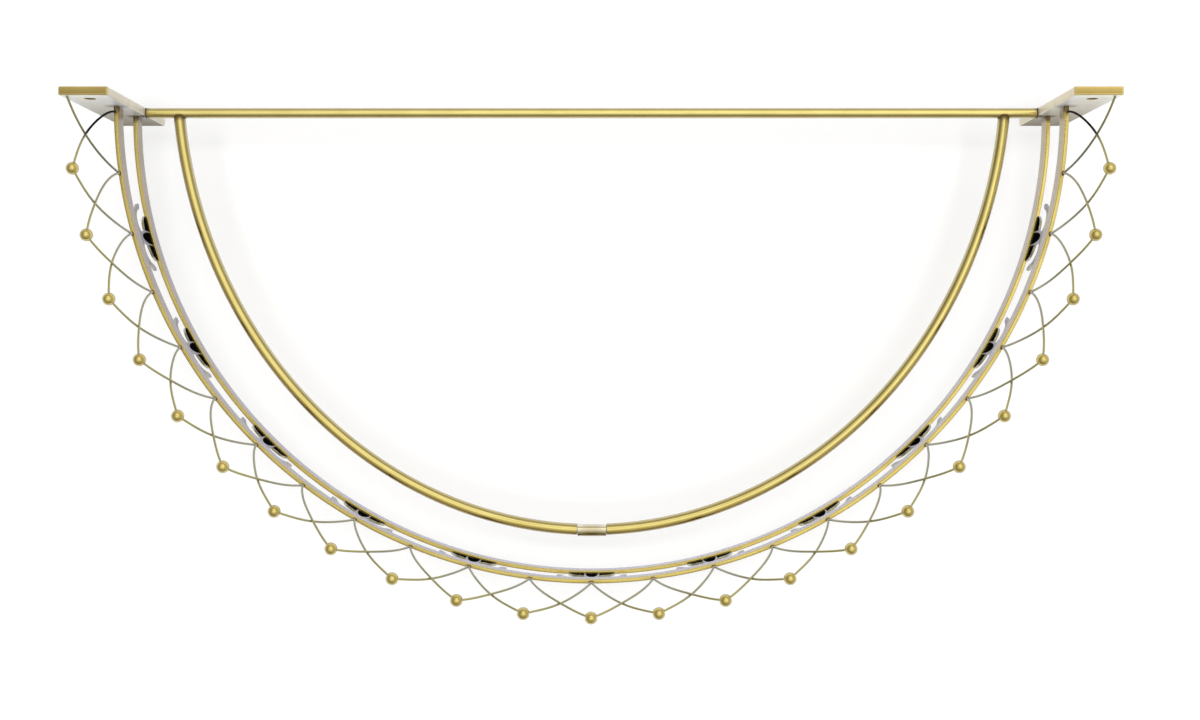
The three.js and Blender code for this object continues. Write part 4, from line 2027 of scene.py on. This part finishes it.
@dataclass
class Studio:
    """Floor, light and camera."""

    floor_level: float = -0.057
    floor_reach: float = 4.0
    floor_paint: Colour = (0.86, 0.86, 0.86)
    floor_glow: float = 0.13
    white: Colour = (1.0, 1.0, 1.0)
    room_light: float = 0.28
    low_light: float = 0.18
    camera_at: Point = (0.00672, -0.2055, 1.4157)
    lamp_at: Point = (0.0, -0.19, 3.1)
    lamp_size: float = 1.1
    lamp_energy: float = 44.0
    panels: tuple[SoftPanel, ...] = (
        SoftPanel(right=0.15, back=0.75, half_width=0.8, half_depth=0.5, strength=0.6),
        SoftPanel(right=0.55, back=0.1, half_width=0.5, half_depth=0.5, strength=0.3),
        SoftPanel(right=0.0, back=-0.03, half_width=0.65, half_depth=0.4, strength=0.55),
    )

    def _camera(self) -> None:
        """Looks straight down on the crown, as the photograph does."""
        camera = bpy.data.cameras.new("photo_camera")
        camera.lens = 50.0
        camera.sensor_width = 36.0
        camera.sensor_fit = "HORIZONTAL"
        camera.clip_start = 0.01
        camera.clip_end = 100.0
        holder = shown("photo_camera", camera)
        holder.location = self.camera_at
        bpy.context.scene.camera = holder

    def _floor(self) -> None:
        """A white floor that keeps the crown's shadow."""
        reach, z = self.floor_reach, self.floor_level
        corners = [(-reach, -reach, z), (reach, -reach, z), (reach, reach, z), (-reach, reach, z)]
        mesh = bpy.data.meshes.new("studio_floor")
        mesh.from_pydata(corners, [], [(0, 1, 2, 3)])
        graph = MaterialGraph("studio_floor")
        rays = graph.add("ShaderNodeLightPath")
        seen = rays.out("Is Camera Ray").most(rays.out("Is Glossy Ray"))
        seen = seen.most(rays.out("Is Transmission Ray"))
        paint = graph.add("ShaderNodeBsdfDiffuse", None, {"Color": opaque(self.floor_paint)}).out("BSDF")
        values = {"Color": opaque(self.white), "Strength": seen * self.floor_glow}
        glow = graph.add("ShaderNodeEmission", None, values).out("Emission")
        lit = graph.add("ShaderNodeAddShader", None, {0: paint, 1: glow}).out("Shader")
        clear = graph.add("ShaderNodeBsdfTransparent").out("BSDF")
        below = graph.add("ShaderNodeNewGeometry").out("Backfacing")
        both = graph.add("ShaderNodeMixShader", None, {"Fac": below, 1: lit, 2: clear}).out("Shader")
        graph.add("ShaderNodeOutputMaterial", None, {"Surface": both})
        mesh.materials.append(graph.material)
        shown("studio_floor", mesh)

    def _softbox(self) -> None:
        """Hangs a soft square lamp over the crown; it lights the floor and throws the soft shadow."""
        lamp = bpy.data.lights.new("overhead_softbox", "AREA")
        lamp.shape = "SQUARE"
        lamp.size = self.lamp_size
        lamp.energy = self.lamp_energy
        holder = shown("overhead_softbox", lamp)
        holder.location = self.lamp_at
        holder.visible_camera = False
        holder.visible_glossy = False

    def _world(self) -> None:
        """White where the camera sees it; a soft room, darker at the sides, for everything else."""
        world = bpy.data.worlds.new("studio_world")
        world.use_nodes = True
        bpy.context.scene.world = world
        graph = Graph(world.node_tree)
        world.node_tree.nodes.clear()
        rays = graph.add("ShaderNodeLightPath")
        toward = graph.add("ShaderNodeTexCoord").out("Generated")
        right, back, up = graph.parts(toward)
        overhead, sideways = up.ramp(0.3, 0.95), (right + back * 0.6).ramp(-0.7, 0.9)
        room = self.room_light + overhead * self.room_light + sideways * self.room_light
        room = room + up.ramp(0.4, 0.0) * (self.low_light - right * 0.1 + back * 0.15)
        height = up.most(0.02)
        for panel in self.panels:
            wide = (right / height - panel.right) / panel.half_width
            deep = (back / height - panel.back) / panel.half_depth
            room = room + (wide * wide + deep * deep).ramp(1.0, 0.0) * panel.strength
        strength = rays.out("Is Camera Ray") + (1 - rays.out("Is Camera Ray")) * room
        values = {"Color": opaque(self.white), "Strength": strength}
        light = graph.add("ShaderNodeBackground", None, values).out("Background")
        graph.add("ShaderNodeOutputWorld", None, {"Surface": light})

    def build(self) -> None:
        """Sets up the studio."""
        self._camera()
        self._floor()
        self._world()
        self._softbox()
        bpy.context.scene.view_settings.view_transform = "Standard"


def main() -> None:
    """Builds the studio and every sub-assembly in order."""
    logging.basicConfig(level=logging.INFO, format="%(name)s: %(message)s")
    Studio().build()
    for assembly in (
        WallPlates(),
        Bands(),
        BackRod(),
        CurtainRod(),
        FrontCoupling(),
        WireGallery(),
        BallBeads(),
        LilyOrnaments(),
        BrazedFeet(),
    ):
        assembly.build()


if __name__ == "__main__":
    main()
